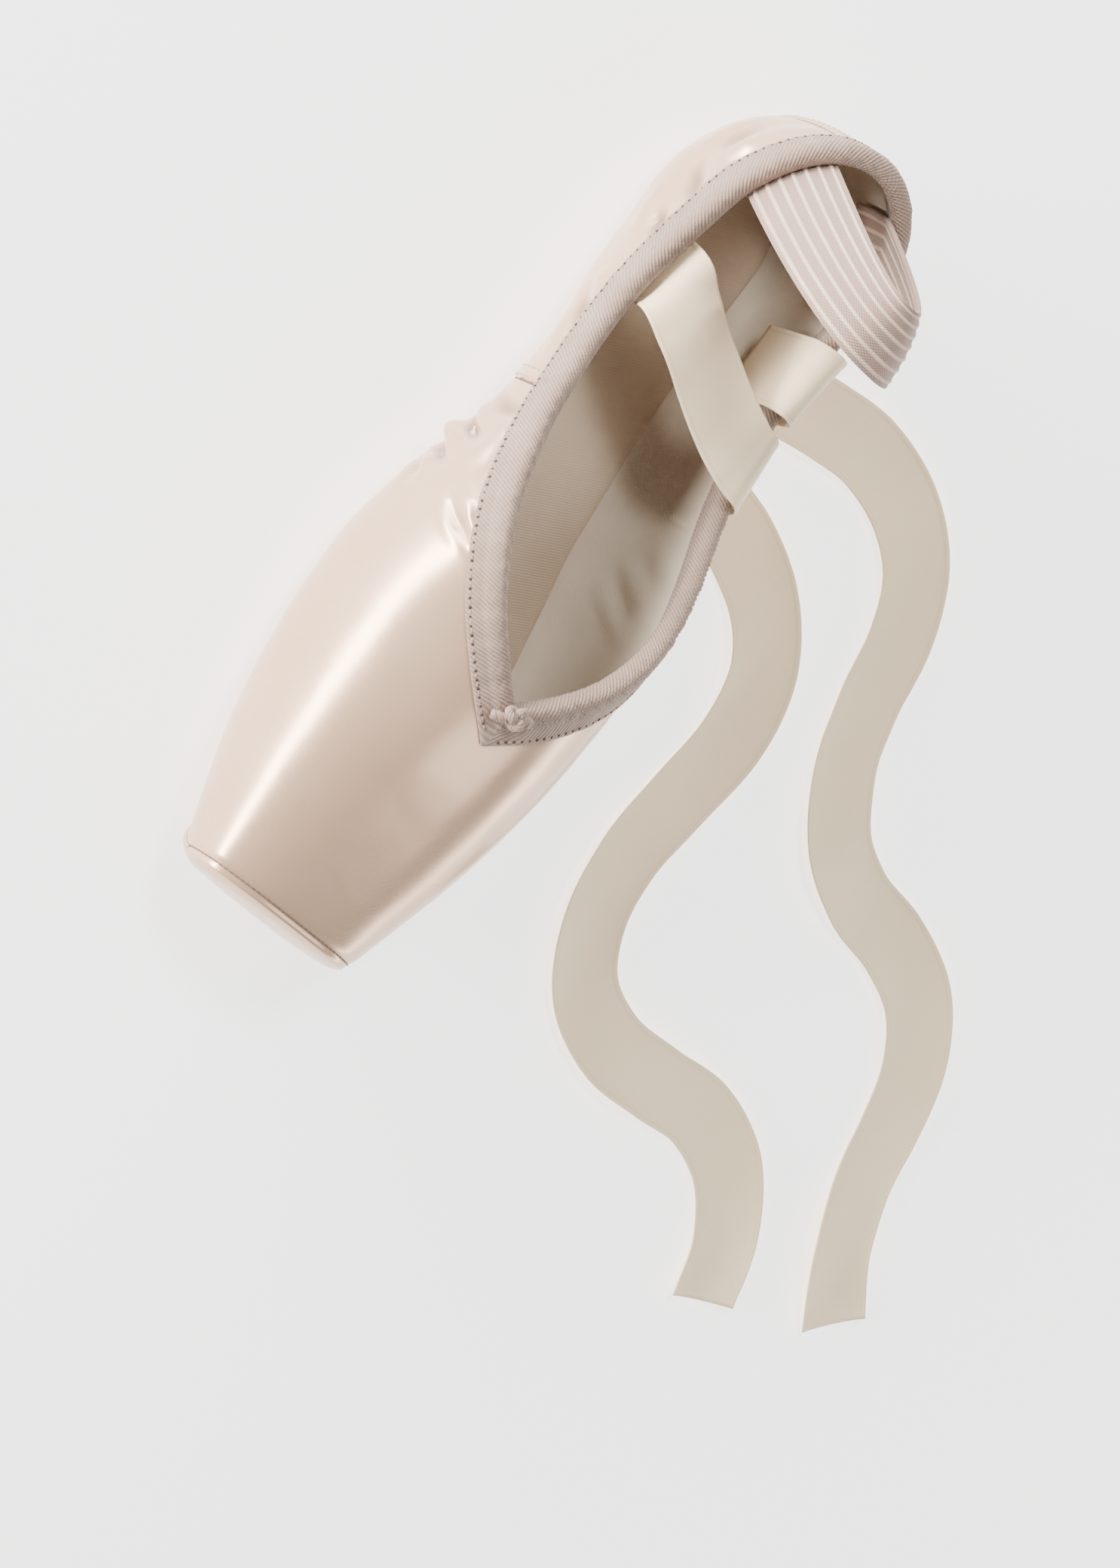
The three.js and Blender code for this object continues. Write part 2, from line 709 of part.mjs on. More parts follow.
function makeToeTip() {
  const over = platformWidth;
  const tip = shoeLength - tipSeamSet;
  const rear = shoeLength - outsoleTipInset - outsoleTipRound / 3;
  const cap = prism(
    [
      [shoeLength + over, over],
      [tip, over],
    ],
    -1,
    instepHeight,
  );
  const corner = halfWidthAt(tip) - 1;
  const apron = prism(
    [
      [tip + 1, corner],
      [lerp(rear, tip, 0.75), lerp(tipPanelRear / 2, corner, 0.55)],
      [lerp(rear, tip, 0.4), lerp(tipPanelRear / 2, corner, 0.14)],
      [rear, tipPanelRear / 2],
    ],
    -1,
    platformLift + platformHeight * 0.35,
  );
  return overlayShell().intersect(cap.add(apron)).subtract(outsoleClearance());
}

// The elastic: sewn down inside one quarter, over the ankle and down inside the other
function makeElastic() {
  const frames = collarFrames().reverse();
  const lengths = [0];
  frames.slice(1).forEach((row, k) => lengths.push(lengths[k] + row.point.distanceTo(frames[k].point)));
  const uAlong = smoothCurve(frames.map((row, k) => [lengths[k], row.u]));
  const clearance = tapeGap + bindingThickness + bindingSwell + seamGap;
  const lean = THREE.MathUtils.degToRad(elasticLean);
  const columns = steps(5, 0, elasticWidth).map((w) => {
    const u = uAlong(elasticHeelInset + w);
    const edge = lastPoint(u, collarShare(u));
    const inside = (drop, extra) => {
      const near = locate(edge.clone().setZ(edge.z - drop));
      const depth = wallAt(u) + clearance + extra;
      return lastPoint(near.u, near.share).addScaledVector(lastNormal(near.u, near.share), -depth);
    };
    const arch = (angle, extra) => {
      const foot = inside(0, extra);
      const half = -foot.y;
      const up = (elasticRise - extra) * Math.sin(angle) ** elasticBow;
      return new THREE.Vector3(
        foot.x + up * Math.sin(lean),
        -half * Math.sign(Math.cos(angle)) * Math.abs(Math.cos(angle)) ** elasticBow,
        foot.z + up * Math.cos(lean) + (w - elasticWidth / 2) * elasticRuffle * Math.sin(angle),
      );
    };
    const path = (extra) => {
      const tuck = steps(3, elasticTuck, 0).map((drop) => inside(drop, extra));
      const over = steps(24, 0, Math.PI).slice(1, -1).map((angle) => arch(angle, extra));
      const far = [...tuck].reverse().map((p) => new THREE.Vector3(p.x, -p.y, p.z));
      return [...tuck, ...over, ...far].map((p) => p.toArray());
    };
    return { outer: path(0), inner: path(elasticThickness) };
  });
  return wallBetween(
    columns.map((row) => row.outer),
    columns.map((row) => row.inner),
  );
}

// The knot of the drawstring, on the point of the collar, with its two cut ends
function makeKnot() {
  const [throat] = collarFrames();
  const height = tapeGap + bindingThickness + bindingSwell + seamGap + knotRadius;
  const place = throat.point.clone().addScaledVector(throat.normal, height);
  const tail = (turn, tilt) =>
    new THREE.CapsuleGeometry(cordRadius, knotTail, 2, 7)
      .translate(0, knotTail / 2 + knotRadius, 0)
      .rotateX(tilt)
      .rotateZ(turn);
  const shapes = [
    new THREE.SphereGeometry(knotRadius, 10, 6).scale(1.15, 1.3, 0.95),
    new THREE.TorusGeometry(knotRadius * 0.95, cordRadius, 6, 10).rotateX(1.2).scale(1, 1.15, 1),
    tail(1.0, 0.25),
    tail(2.1, 0.25),
  ];
  const solid = shapes.map(fromGeometry).reduce((sum, shape) => sum.add(shape));
  return solid.translate(place.x, place.y, place.z + 0.6);
}

// A ribbon along its route: flat on the floor, and elsewhere with its width along the collar
function makeRibbon({ route, tilt }) {
  const path = new THREE.CatmullRomCurve3(route.map((p) => new THREE.Vector3(...p)));
  const up = new THREE.Vector3(0, 0, 1);
  const floorHeight = 2;
  const rings = steps(56, 0, 1).map((t) => {
    const point = path.getPointAt(t);
    point.z = Math.max(point.z, ribbonThickness / 2 + 0.1);
    const along = path.getTangentAt(t);
    const raised = clamp((point.z - floorHeight) / sideHeight);
    const across = new THREE.Vector3(-1, 0, -tilt * raised);
    const side =
      point.z < floorHeight
        ? up.clone().cross(along).normalize()
        : across.addScaledVector(along, -across.dot(along)).normalize();
    const face = along.clone().cross(side).normalize();
    return [
      [-1, -1],
      [1, -1],
      [1, 1],
      [-1, 1],
    ].map(([w, h]) =>
      point
        .clone()
        .addScaledVector(side, (w * ribbonWidth) / 2)
        .addScaledVector(face, (h * ribbonThickness) / 2)
        .toArray(),
    );
  });
  return loft(rings, false);
}

const group = new THREE.Group();
group.position.x = -(shoeLength + platformDome) / 2;
function addPiece(name, solid, colour, roughness) {
  const material = new THREE.MeshStandardMaterial({ color: colour, roughness, metalness: 0 });
  const mesh = new THREE.Mesh(toGeometry(solid), material);
  mesh.name = name;
  group.add(mesh);
}

addPiece("outsole", makeOutsole(), colours.leather, 0.75);
addPiece("upper", makeUpper(), colours.satin, 0.3);
addPiece("insole", makeInsole(), colours.board, 0.8);
addPiece("collar_binding", makeBinding(), colours.twill, 0.7);
addPiece("heel_strip", makeHeelStrip(), colours.satin, 0.3);
addPiece("toe_tip", makeToeTip(), colours.satin, 0.35);
addPiece("elastic_band", makeElastic(), colours.elastic, 0.8);
addPiece("drawstring_knot", makeKnot(), colours.twill, 0.75);
for (const ribbon of ribbons) {
  addPiece(ribbon.name, makeRibbon(ribbon), colours.ribbon, 0.55);
}

export default group;
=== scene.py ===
import math
from functools import partial

import bmesh
import bpy
import numpy as np
from mathutils import Matrix, Vector
from mathutils.kdtree import KDTree


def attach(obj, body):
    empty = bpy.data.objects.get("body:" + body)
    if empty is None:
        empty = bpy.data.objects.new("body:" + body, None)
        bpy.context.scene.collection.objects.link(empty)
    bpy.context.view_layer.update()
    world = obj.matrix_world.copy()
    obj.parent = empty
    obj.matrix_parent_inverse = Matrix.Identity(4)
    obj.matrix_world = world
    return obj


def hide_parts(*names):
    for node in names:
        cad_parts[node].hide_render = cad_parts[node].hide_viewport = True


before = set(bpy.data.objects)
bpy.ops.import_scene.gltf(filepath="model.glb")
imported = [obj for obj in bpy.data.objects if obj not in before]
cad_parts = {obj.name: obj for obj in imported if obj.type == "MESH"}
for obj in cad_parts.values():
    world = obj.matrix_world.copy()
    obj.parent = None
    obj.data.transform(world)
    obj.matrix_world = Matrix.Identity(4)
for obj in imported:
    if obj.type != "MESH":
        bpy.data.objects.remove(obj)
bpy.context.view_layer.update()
quarterTurn = math.pi / 2

# Sizes of the shoe in mm, as in the CAD. x runs from the back of the heel until toMetres shifts it.
shoe = {
    "length": 252.0, "ballWidth": 87.0, "heelWidth": 58.0, "heelRound": 37.0, "instepHeight": 61.0,
    "platformWidth": 54.0, "platformHeight": 27.0, "platformLift": 10.0, "platformEdge": 5.0,
    "platformDome": 0.8, "vampLength": 75.0, "sideHeight": 32.0, "heelHeight": 54.0,
    "boxWall": 2.8, "quarterWall": 1.8, "seamGap": 0.3, "archRise": 5.0, "lastingMargin": 8.0,
}
sole = {
    "thickness": 2.6, "ballWidth": 61.0, "waistWidth": 28.0, "heelWidth": 39.0,
    "heelInset": 13.0, "tipInset": 27.0, "tipRound": 30.0,
    "rimRound": 0.9, "stitchInset": 5.2, "stitchPitch": 7.4, "stitchLength": 5.6, "threadRadius": 0.42,
}
shiftX = -(shoe["length"] + shoe["platformDome"]) / 2

# Sections of the last: at, spread, crown, sole flat, widest line, squareness
sections = [
    (1.0, 0.0, 0.0, 0.74, 0.2, 2.5), (0.93, 0.31, 0.27, 0.76, 0.23, 2.4), (0.86, 0.6, 0.52, 0.78, 0.26, 2.3),
    (0.79, 0.8, 0.75, 0.79, 0.285, 2.2), (0.72, 0.94, 0.92, 0.79, 0.3, 2.1), (0.65, 1.0, 1.06, 0.77, 0.31, 2.0),
    (0.57, 0.84, 1.27, 0.72, 0.32, 2.0), (0.48, 0.51, 1.5, 0.64, 0.33, 2.0), (0.38, 0.21, 1.72, 0.62, 0.33, 2.0),
    (0.27, 0.06, 1.86, 0.69, 0.32, 2.0), (0.14, 0.0, 1.92, 0.75, 0.3, 2.0), (0.0, 0.0, 1.94, 0.75, 0.3, 2.0),
]
soleRows = [  # at, share of the ball's width, share of the heel's width
    (1.0, 0.2, 0), (0.89, 0.55, 0), (0.83, 0.8, 0), (0.77, 0.96, 0), (0.71, 1.0, 0), (0.65, 0.93, 0),
    (0.57, 0.61, 0), (0.49, 0.21, 0), (0.42, 0, 0), (0.36, 0, 0.06), (0.28, 0, 0.5), (0.2, 0, 0.9),
    (0.14, 0, 1.0), (0.0, 0, 1.0),
]
collarRows = [  # at, front, back
    (1.0, 1.0, 0), (0.95, 0.81, 0), (0.88, 0.6, 0), (0.79, 0.4, 0), (0.69, 0.24, 0), (0.58, 0.11, 0),
    (0.46, 0.03, 0.02), (0.35, 0, 0.14), (0.23, 0, 0.4), (0.11, 0, 0.74), (0.0, 0, 1.0),
]


def lerp(a, b, t):
    return a + (b - a) * t


def smoothStep(low, high, value):
    t = np.clip((value - low) / (high - low), 0, 1)
    return t * t * (3 - 2 * t)


def smoothCurve(pairs):
    xs, ys = (np.array(column, float) for column in zip(*sorted(pairs)))
    rise = np.diff(ys) / np.diff(xs)
    slopes = np.zeros(len(xs))
    for k in range(1, len(xs) - 1):
        a, b = rise[k - 1], rise[k]
        slopes[k] = 0 if a * b <= 0 else 2 * a * b / (a + b)
    slopes[0] = 1.5 * rise[0] - 0.5 * slopes[1]
    slopes[-1] = 1.5 * rise[-1] - 0.5 * slopes[-2]

    def curve(at):
        x = np.clip(at, xs[0], xs[-1])
        k = np.clip(np.searchsorted(xs, x) - 1, 0, len(xs) - 2)
        h = xs[k + 1] - xs[k]
        t = (x - xs[k]) / h
        u = 1 - t
        bend = h * t * u * (slopes[k] * u - slopes[k + 1] * t)
        return ys[k] * u * u * (1 + 2 * t) + ys[k + 1] * t * t * (3 - 2 * t) + bend

    return curve


def column(k):
    return smoothCurve([(row[0] * shoe["length"], row[k]) for row in sections])


soleShareAt, widestAt, squareAt = column(3), column(4), column(5)
halfWidthAt = smoothCurve([
    (row[0] * shoe["length"],
     lerp(shoe["platformWidth" if row[0] > 0.65 else "heelWidth"] / 2, shoe["ballWidth"] / 2, row[1]))
    for row in sections])
crownAt = smoothCurve([
    (row[0] * shoe["length"], lerp(shoe["platformLift"] + shoe["platformHeight"], shoe["instepHeight"], row[2]))
    for row in sections])
soleBodyAt = smoothCurve([
    (at * shoe["length"],
     sole["waistWidth"] / 2 + toBall * (sole["ballWidth"] - sole["waistWidth"]) / 2
     + toHeel * (sole["heelWidth"] - sole["waistWidth"]) / 2)
    for at, toBall, toHeel in soleRows])
throatX = shoe["length"] - shoe["vampLength"]
farEnd = shoe["length"] + shoe["platformEdge"]
collarHeight = smoothCurve([
    (at * throatX, lerp(shoe["sideHeight"], shoe["heelHeight"], back)) for at, _, back in collarRows])
collarTurn = smoothCurve([(at * throatX, front) for at, front, _ in collarRows])


def soleLine(x):
    arch = np.clip((x / shoe["length"] - 0.2) / 0.41, 0, 1)
    spring = np.clip((x / shoe["length"] - 0.74) / 0.26, 0, 1)
    rise = shoe["platformLift"] - sole["thickness"] - shoe["seamGap"]
    return shoe["archRise"] * np.sin(math.pi * arch) ** 2 + rise * spring ** 2


def undersideAt(x):
    return soleLine(x) + sole["thickness"] + shoe["seamGap"]


def wallAt(x):
    return lerp(shoe["quarterWall"], shoe["boxWall"], np.clip((x / shoe["length"] - 0.5) / 0.25, 0, 1))


def outsoleHalf(x):
    tip = (x - (shoe["length"] - sole["tipInset"] - sole["tipRound"])) / sole["tipRound"]
    return np.where(tip >= 1, 0, soleBodyAt(x) * np.sqrt(np.clip(1 - np.clip(tip, 0, 1) ** 2, 0, 1)))


def reach(angle, alongX, alongY):
    return 1 / np.hypot(np.cos(angle) / alongX, np.sin(angle) / alongY)


def stationsAt(u):
    u = np.asarray(u, float)
    heel = shoe["heelRound"]
    behind = u < heel
    angle = quarterTurn * (2 - u / heel)
    fan = reach(angle, heel, halfWidthAt(heel))
    bed = reach(angle, heel - sole["heelInset"], soleBodyAt(heel))
    rim = np.clip((u - shoe["length"] + shoe["platformEdge"]) / shoe["platformEdge"], 0, 1)
    inset = shoe["platformEdge"] * (1 - np.sqrt(1 - rim * rim))
    cap = np.clip((u - shoe["length"]) / shoe["platformEdge"], 0, 1)
    x = np.where(behind, heel + fan * np.cos(angle), np.minimum(u, shoe["length"]))
    half = np.where(behind, fan, halfWidthAt(x) - inset)
    return {
        "behind": behind, "angle": angle, "cap": cap, "x": x, "half": half,
        "flat": np.where(behind, fan * soleShareAt(x), halfWidthAt(x) * soleShareAt(x) - inset),
        "bottom": np.where(behind, undersideAt(0), undersideAt(x) + inset),
        "top": crownAt(x) - np.where(behind, 0, inset),
        "widest": np.where(behind, undersideAt(0), undersideAt(x)) + widestAt(x) * shoe["instepHeight"],
        "opening": np.where(behind, np.maximum(bed - shoe["lastingMargin"], 1),
                            np.maximum(outsoleHalf(x) - shoe["lastingMargin"], 0)),
        "front": x + shoe["platformDome"] * (1 - (1 - cap) ** 2),
    }


cornerAngles = np.linspace(0, quarterTurn, 25)
overAngles = np.linspace(0, quarterTurn, 73)[1:]


def outlines(u):
    at = stationsAt(u)
    side = {key: np.asarray(value)[:, None] for key, value in at.items()}
    power = 2 / squareAt(side["x"])
    fall = np.clip(np.cos(overAngles), 0, 1) ** power
    fall[:, -1] = 0
    r = np.concatenate([np.zeros_like(power), side["flat"] + (side["half"] - side["flat"]) * np.sin(cornerAngles),
                        side["half"] * fall], 1)
    z = np.concatenate([side["bottom"], side["bottom"] + (side["widest"] - side["bottom"]) * (1 - np.cos(cornerAngles)),
                        side["widest"] + (side["top"] - side["widest"]) * np.sin(overAngles) ** power], 1)
    lengths = np.concatenate([np.zeros_like(power), np.cumsum(np.hypot(np.diff(r), np.diff(z)), 1)], 1)
    return at, r, z, lengths


def onLast(u, share):
    # Points of the right half. u has one value a row, share one row of values for each.
    at, r, z, lengths = outlines(u)
    s = np.clip(share, 0, 1) * lengths[:, -1:]
    rr = np.array([np.interp(s[k], lengths[k], r[k]) for k in range(len(s))])
    zz = np.array([np.interp(s[k], lengths[k], z[k]) for k in range(len(s))])
    side = {key: np.asarray(value)[:, None] for key, value in at.items()}
    middle = shoe["platformLift"] + shoe["platformHeight"] / 2
    fanX = shoe["heelRound"] + rr * np.cos(side["angle"])
    x = np.where(side["behind"], fanX, side["front"] + 0 * rr)
    y = np.where(side["behind"], -rr * np.sin(side["angle"]), -rr * (1 - side["cap"]))
    return np.stack([x, y, np.where(side["behind"], zz, lerp(zz, middle, side["cap"]))], -1)


def normalsOn(u, share):
    along = onLast(u + 0.4, share) - onLast(u - 0.4, share)
    around = onLast(u, np.clip(share + 0.012, 0, 1)) - onLast(u, np.clip(share - 0.012, 0, 1))
    normal = np.cross(along, around)
    normal[np.abs(onLast(u, share)[..., 1]) < 1e-6, 1] = 0
    normal /= np.maximum(np.linalg.norm(normal, axis=-1, keepdims=True), 1e-9)
    normal[np.asarray(u) > farEnd - 0.02] = (1, 0, 0)
    return normal


def totalAt(u):
    return outlines(u)[3][:, -1]


def openingShare(u):
    return stationsAt(u)["opening"] / totalAt(u)


def collarShare(u):
    at, _, _, lengths = outlines(u)
    power = 2 / squareAt(at["x"])
    height = np.clip((collarHeight(at["x"]) - at["widest"]) / (at["top"] - at["widest"]), 0, 1)
    angle = lerp(np.arcsin(height ** (1 / power)) / quarterTurn, 1, collarTurn(at["x"]))
    place = np.clip(angle, 0, 1) * len(overAngles) + len(cornerAngles)
    rows = np.arange(lengths.shape[1])
    share = np.array([np.interp(place[k], rows, lengths[k]) for k in range(len(place))]) / lengths[:, -1]
    return np.where(np.asarray(u) >= throatX, 1, share)


def locate(points):
    # The station and the share of the right half that lie nearest to each point
    x, y, z = points[:, 0], points[:, 1], points[:, 2]
    heel = shoe["heelRound"]
    behind = x < heel
    u = np.where(behind, heel * (2 - np.arctan2(np.abs(y), x - heel) / quarterTurn), x)
    r = np.where(behind, np.hypot(x - heel, y), np.abs(y))
    _, rs, zs, lengths = outlines(u)
    dr, dz = np.diff(rs), np.diff(zs)
    t = ((r[:, None] - rs[:, :-1]) * dr + (z[:, None] - zs[:, :-1]) * dz) / np.maximum(dr * dr + dz * dz, 1e-9)
    t = np.clip(t, 0, 1)
    miss = np.hypot(r[:, None] - rs[:, :-1] - t * dr, z[:, None] - zs[:, :-1] - t * dz)
    best = np.argmin(miss[:, 1:], 1) + 1
    rows = np.arange(len(u))
    share = lerp(lengths[rows, best], lengths[rows, best + 1], t[rows, best]) / lengths[:, -1]
    return u, share


def toMetres(points):
    points = np.array(points, float)
    points[..., 0] += shiftX
    return points / 1000


def run(first, *legs):
    # Values from the first on, each leg to its end in its number of steps
    values = [np.array([first], float)]
    for end, count in legs:
        values.append(np.linspace(values[-1][-1], end, count + 1)[1:])
    return np.concatenate(values)


def mirrored(points):
    return points * (1, -1, 1)


def addPiece(name, vertices, faces, marks, materials, replaces=(), uvs=None, weld=0.0):
    # vertices in mm, marks the material of each face. Closed bodies get their faces turned outwards.
    mesh = bpy.data.meshes.new(name)
    mesh.from_pydata(toMetres(vertices).tolist(), [], faces)
    if uvs is not None:
        mesh.uv_layers.new(name="cloth").data.foreach_set("uv", uvs.astype("f").ravel())
    mesh.polygons.foreach_set("material_index", np.array(marks, "i"))
    for material in materials:
        mesh.materials.append(material)
    tidy = bmesh.new()
    tidy.from_mesh(mesh)
    if weld:
        bmesh.ops.remove_doubles(tidy, verts=tidy.verts, dist=weld)
        bmesh.ops.dissolve_degenerate(tidy, edges=tidy.edges, dist=weld)
    if not any(edge.is_boundary for edge in tidy.edges):
        bmesh.ops.recalc_face_normals(tidy, faces=tidy.faces)
    tidy.to_mesh(mesh)
    tidy.free()
    mesh.polygons.foreach_set("use_smooth", [True] * len(mesh.polygons))
    piece = bpy.data.objects.new(name, mesh)
    bpy.context.collection.objects.link(piece)
    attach(piece, "root")
    if replaces:
        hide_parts(*replaces)
    return piece


def meshPiece(name, grids, materials, replaces=(), weld=1e-6):
    # grids: points (rows, columns, 3) in mm, uv with one column more where closed, closed, flipped, material
    parts = []
    start = 0
    for points, uv, closed, flip, mark in grids:
        rows, columns = points.shape[:2]
        index = start + np.arange(rows * columns).reshape(rows, columns)
        if closed:
            index = np.concatenate([index, index[:, :1]], 1)
        corners, places = ([grid[:-1, :-1], grid[1:, :-1], grid[1:, 1:], grid[:-1, 1:]] for grid in (index, uv))
        if flip:
            corners, places = corners[::-1], places[::-1]
        quads = np.stack(corners, -1).reshape(-1, 4)
        parts.append((points.reshape(-1, 3), quads, np.full(len(quads), mark), np.stack(places, -2).reshape(-1, 2)))
        start += rows * columns
    vertices, faces, marks, uvs = (np.concatenate(column) for column in zip(*parts))
    return addPiece(name, vertices, faces.tolist(), marks, materials, replaces, uvs, weld)


def endCaps(top, under, flat, flips):
    # The strips that close the first and the last row of a flat band
    return [(np.stack([top[k], under[k]]), np.stack([flat[k], flat[k]]), False, flip, 0)
            for k, flip in zip((0, -1), flips)]


def slabSides(under, top, uv):
    # The strips that close the first and the last column of a flat slab
    return [(np.stack([under[:, k], top[:, k]], 1), np.stack([uv[:, k], uv[:, k]], 1), False, flip, 0)
            for k, flip in ((0, True), (-1, False))]


def along(points):
    return np.concatenate([[0], np.cumsum(np.linalg.norm(np.diff(points, axis=0), axis=1))])


def unit(vectors):
    return vectors / np.maximum(np.linalg.norm(vectors, axis=-1, keepdims=True), 1e-9)


def sampled(positions, lengths, values):
    return np.stack([np.interp(positions, lengths, values[:, k]) for k in range(values.shape[1])], -1)


def smoothed(values, count, mode="edge"):
    # The running mean over count rows
    padded = np.pad(values, ((count // 2, count // 2), (0, 0)), mode=mode)
    return np.stack([np.convolve(line, np.ones(count) / count, "valid") for line in padded.T], 1)


def nearestOn(points, line):
    # How far each point lies from the nearest point of the line, and which that is
    gap = np.linalg.norm(points[:, None] - line[None], axis=-1)
    nearest = np.argmin(gap, 1)
    return gap[np.arange(len(points)), nearest], nearest


def feed(tree, socket, value):
    # A socket takes a link from another node, or a fixed value
    if hasattr(value, "is_linked"):
        tree.links.new(value, socket)
    else:
        socket.default_value = value


def addNode(tree, kind, inputs=None, **settings):
    node = tree.nodes.new("ShaderNode" + kind)
    for key, value in settings.items():
        setattr(node, key, value)
    for key, value in (inputs or {}).items():
        feed(tree, node.inputs[key], value)
    return node


def compute(tree, operation, *values):
    return addNode(tree, "Math", dict(enumerate(values)), operation=operation).outputs[0]


def mixColour(tree, amount, first, second):
    return addNode(tree, "Mix", {0: amount, 6: first, 7: second}, data_type="RGBA").outputs[2]


def rangeOf(tree, value, low, high, atLow=0.0, atHigh=1.0):
    return addNode(tree, "MapRange", {"Value": value, "From Min": low, "From Max": high, "To Min": atLow,
                                      "To Max": atHigh}).outputs[0]


def noiseOf(tree, vector, scale, detail, roughness=0.5, distortion=0.0):
    return addNode(tree, "TexNoise", {"Vector": vector, "Scale": scale, "Detail": detail, "Roughness": roughness,
                                      "Distortion": distortion}).outputs["Fac"]


def partsOf(tree, vector):
    return addNode(tree, "SeparateXYZ", {"Vector": vector}).outputs


def newGroup(name, inputs, outputs):
    tree = bpy.data.node_groups.new(name, "ShaderNodeTree")
    for label, kind, value in inputs:
        socket = tree.interface.new_socket(label, in_out="INPUT", socket_type="NodeSocket" + kind)
        if value is not None:
            socket.default_value = value
    for label, kind in outputs:
        tree.interface.new_socket(label, in_out="OUTPUT", socket_type="NodeSocket" + kind)
    return tree, tree.nodes.new("NodeGroupInput").outputs, tree.nodes.new("NodeGroupOutput").inputs


def useGroup(tree, group, inputs):
    return addNode(tree, "Group", inputs, node_tree=group).outputs


def toneGroup():
    # Soft patches of a second colour, and a roughness that wanders with them
    tree, given, result = newGroup("clothTone", [
        ("Position", "Vector", None), ("Colour", "Color", (0.8, 0.7, 0.6, 1)), ("Shade", "Color", (0.6, 0.5, 0.4, 1)),
        ("Scale", "Float", 40), ("Amount", "Float", 0.3), ("Roughness", "Float", 0.5), ("Wander", "Float", 0.1),
    ], [("Colour", "Color"), ("Roughness", "Float")])
    noise = noiseOf(tree, given["Position"], given["Scale"], 4.0, 0.55)
    amount = compute(tree, "MULTIPLY", rangeOf(tree, noise, 0.34, 0.66), given["Amount"])
    tree.links.new(mixColour(tree, amount, given["Colour"], given["Shade"]), result["Colour"])
    swing = compute(tree, "SUBTRACT", noise, 0.5)
    tree.links.new(compute(tree, "MULTIPLY_ADD", swing, given["Wander"], given["Roughness"]), result["Roughness"])
    return tree


def threadGroup():
    # Threads in two directions on the cloth's own millimetres: pitch along, pitch across, and the slant of a twill
    tree, given, result = newGroup("threads", [
        ("Cloth", "Vector", None), ("Along", "Float", 0.6), ("Across", "Float", 0.6), ("Slant", "Float", 0.0),
        ("Uneven", "Float", 0.3),
    ], [("Height", "Float")])
    do = partial(compute, tree)
    apart = partsOf(tree, given["Cloth"])
    drift = do("MULTIPLY", do("SUBTRACT", noiseOf(tree, given["Cloth"], 0.55, 2.0), 0.5), given["Uneven"])
    leaned = do("MULTIPLY_ADD", apart[1], given["Slant"], do("ADD", apart[0], drift))
    first, second = (do("SINE", do("DIVIDE", do("MULTIPLY", way, 2 * math.pi), given[pitch]))
                     for way, pitch in ((leaned, "Along"), (apart[1], "Across")))
    product = do("MULTIPLY", first, second)
    plain = do("LESS_THAN", do("ABSOLUTE", given["Slant"]), 0.01)
    twill = do("ADD", do("MULTIPLY", first, 0.8), do("MULTIPLY", product, 0.2))
    both = addNode(tree, "Mix", {0: plain, 2: twill, 3: product}).outputs[0]
    tree.links.new(do("MULTIPLY_ADD", both, 0.5, 0.5), result["Height"])
    return tree


def sheenGroup():
    # Long float threads of satin: fine streaks along the cloth, with soft creasing under them
    tree, given, result = newGroup("satinFloats", [
        ("Cloth", "Vector", None), ("Position", "Vector", None), ("Fine", "Float", 5.0), ("Crease", "Float", 60.0),
        ("Creasing", "Float", 0.5),
    ], [("Height", "Float"), ("Streak", "Float")])
    stretch = addNode(tree, "Mapping", {"Vector": given["Cloth"], "Scale": (0.06, 1.0, 1.0)}).outputs[0]
    fine = noiseOf(tree, stretch, given["Fine"], 3.0)
    crease = noiseOf(tree, given["Position"], given["Crease"], 1.2, 0.4, 0.4)
    height = compute(tree, "MULTIPLY_ADD", crease, given["Creasing"], compute(tree, "MULTIPLY", fine, 0.006))
    tree.links.new(height, result["Height"])
    tree.links.new(fine, result["Streak"])
    return tree


def grainGroup():
    # Napped leather: dark clouds, pale flecks, dark pores and a short nap
    tree, given, result = newGroup("leatherGrain", [
        ("Position", "Vector", None), ("Colour", "Color", (0.2, 0.13, 0.08, 1)),
        ("Fleck", "Color", (0.36, 0.26, 0.18, 1)), ("Pore", "Color", (0.09, 0.05, 0.03, 1)), ("Scale", "Float", 900.0),
    ], [("Colour", "Color"), ("Height", "Float")])
    speckle = noiseOf(tree, given["Position"], given["Scale"], 4.0, 0.7)
    cloud = noiseOf(tree, given["Position"], 38.0, 3.0)
    colour = given["Colour"]
    for noise, low, high, most, tint in (
            (cloud, 0.4, 0.68, 0.4, "Pore"), (speckle, 0.52, 0.72, 0.75, "Fleck"), (speckle, 0.46, 0.3, 0.6, "Pore")):
        colour = mixColour(tree, rangeOf(tree, noise, low, high, 0.0, most), colour, given[tint])
    tree.links.new(colour, result["Colour"])
    tree.links.new(speckle, result["Height"])
    return tree


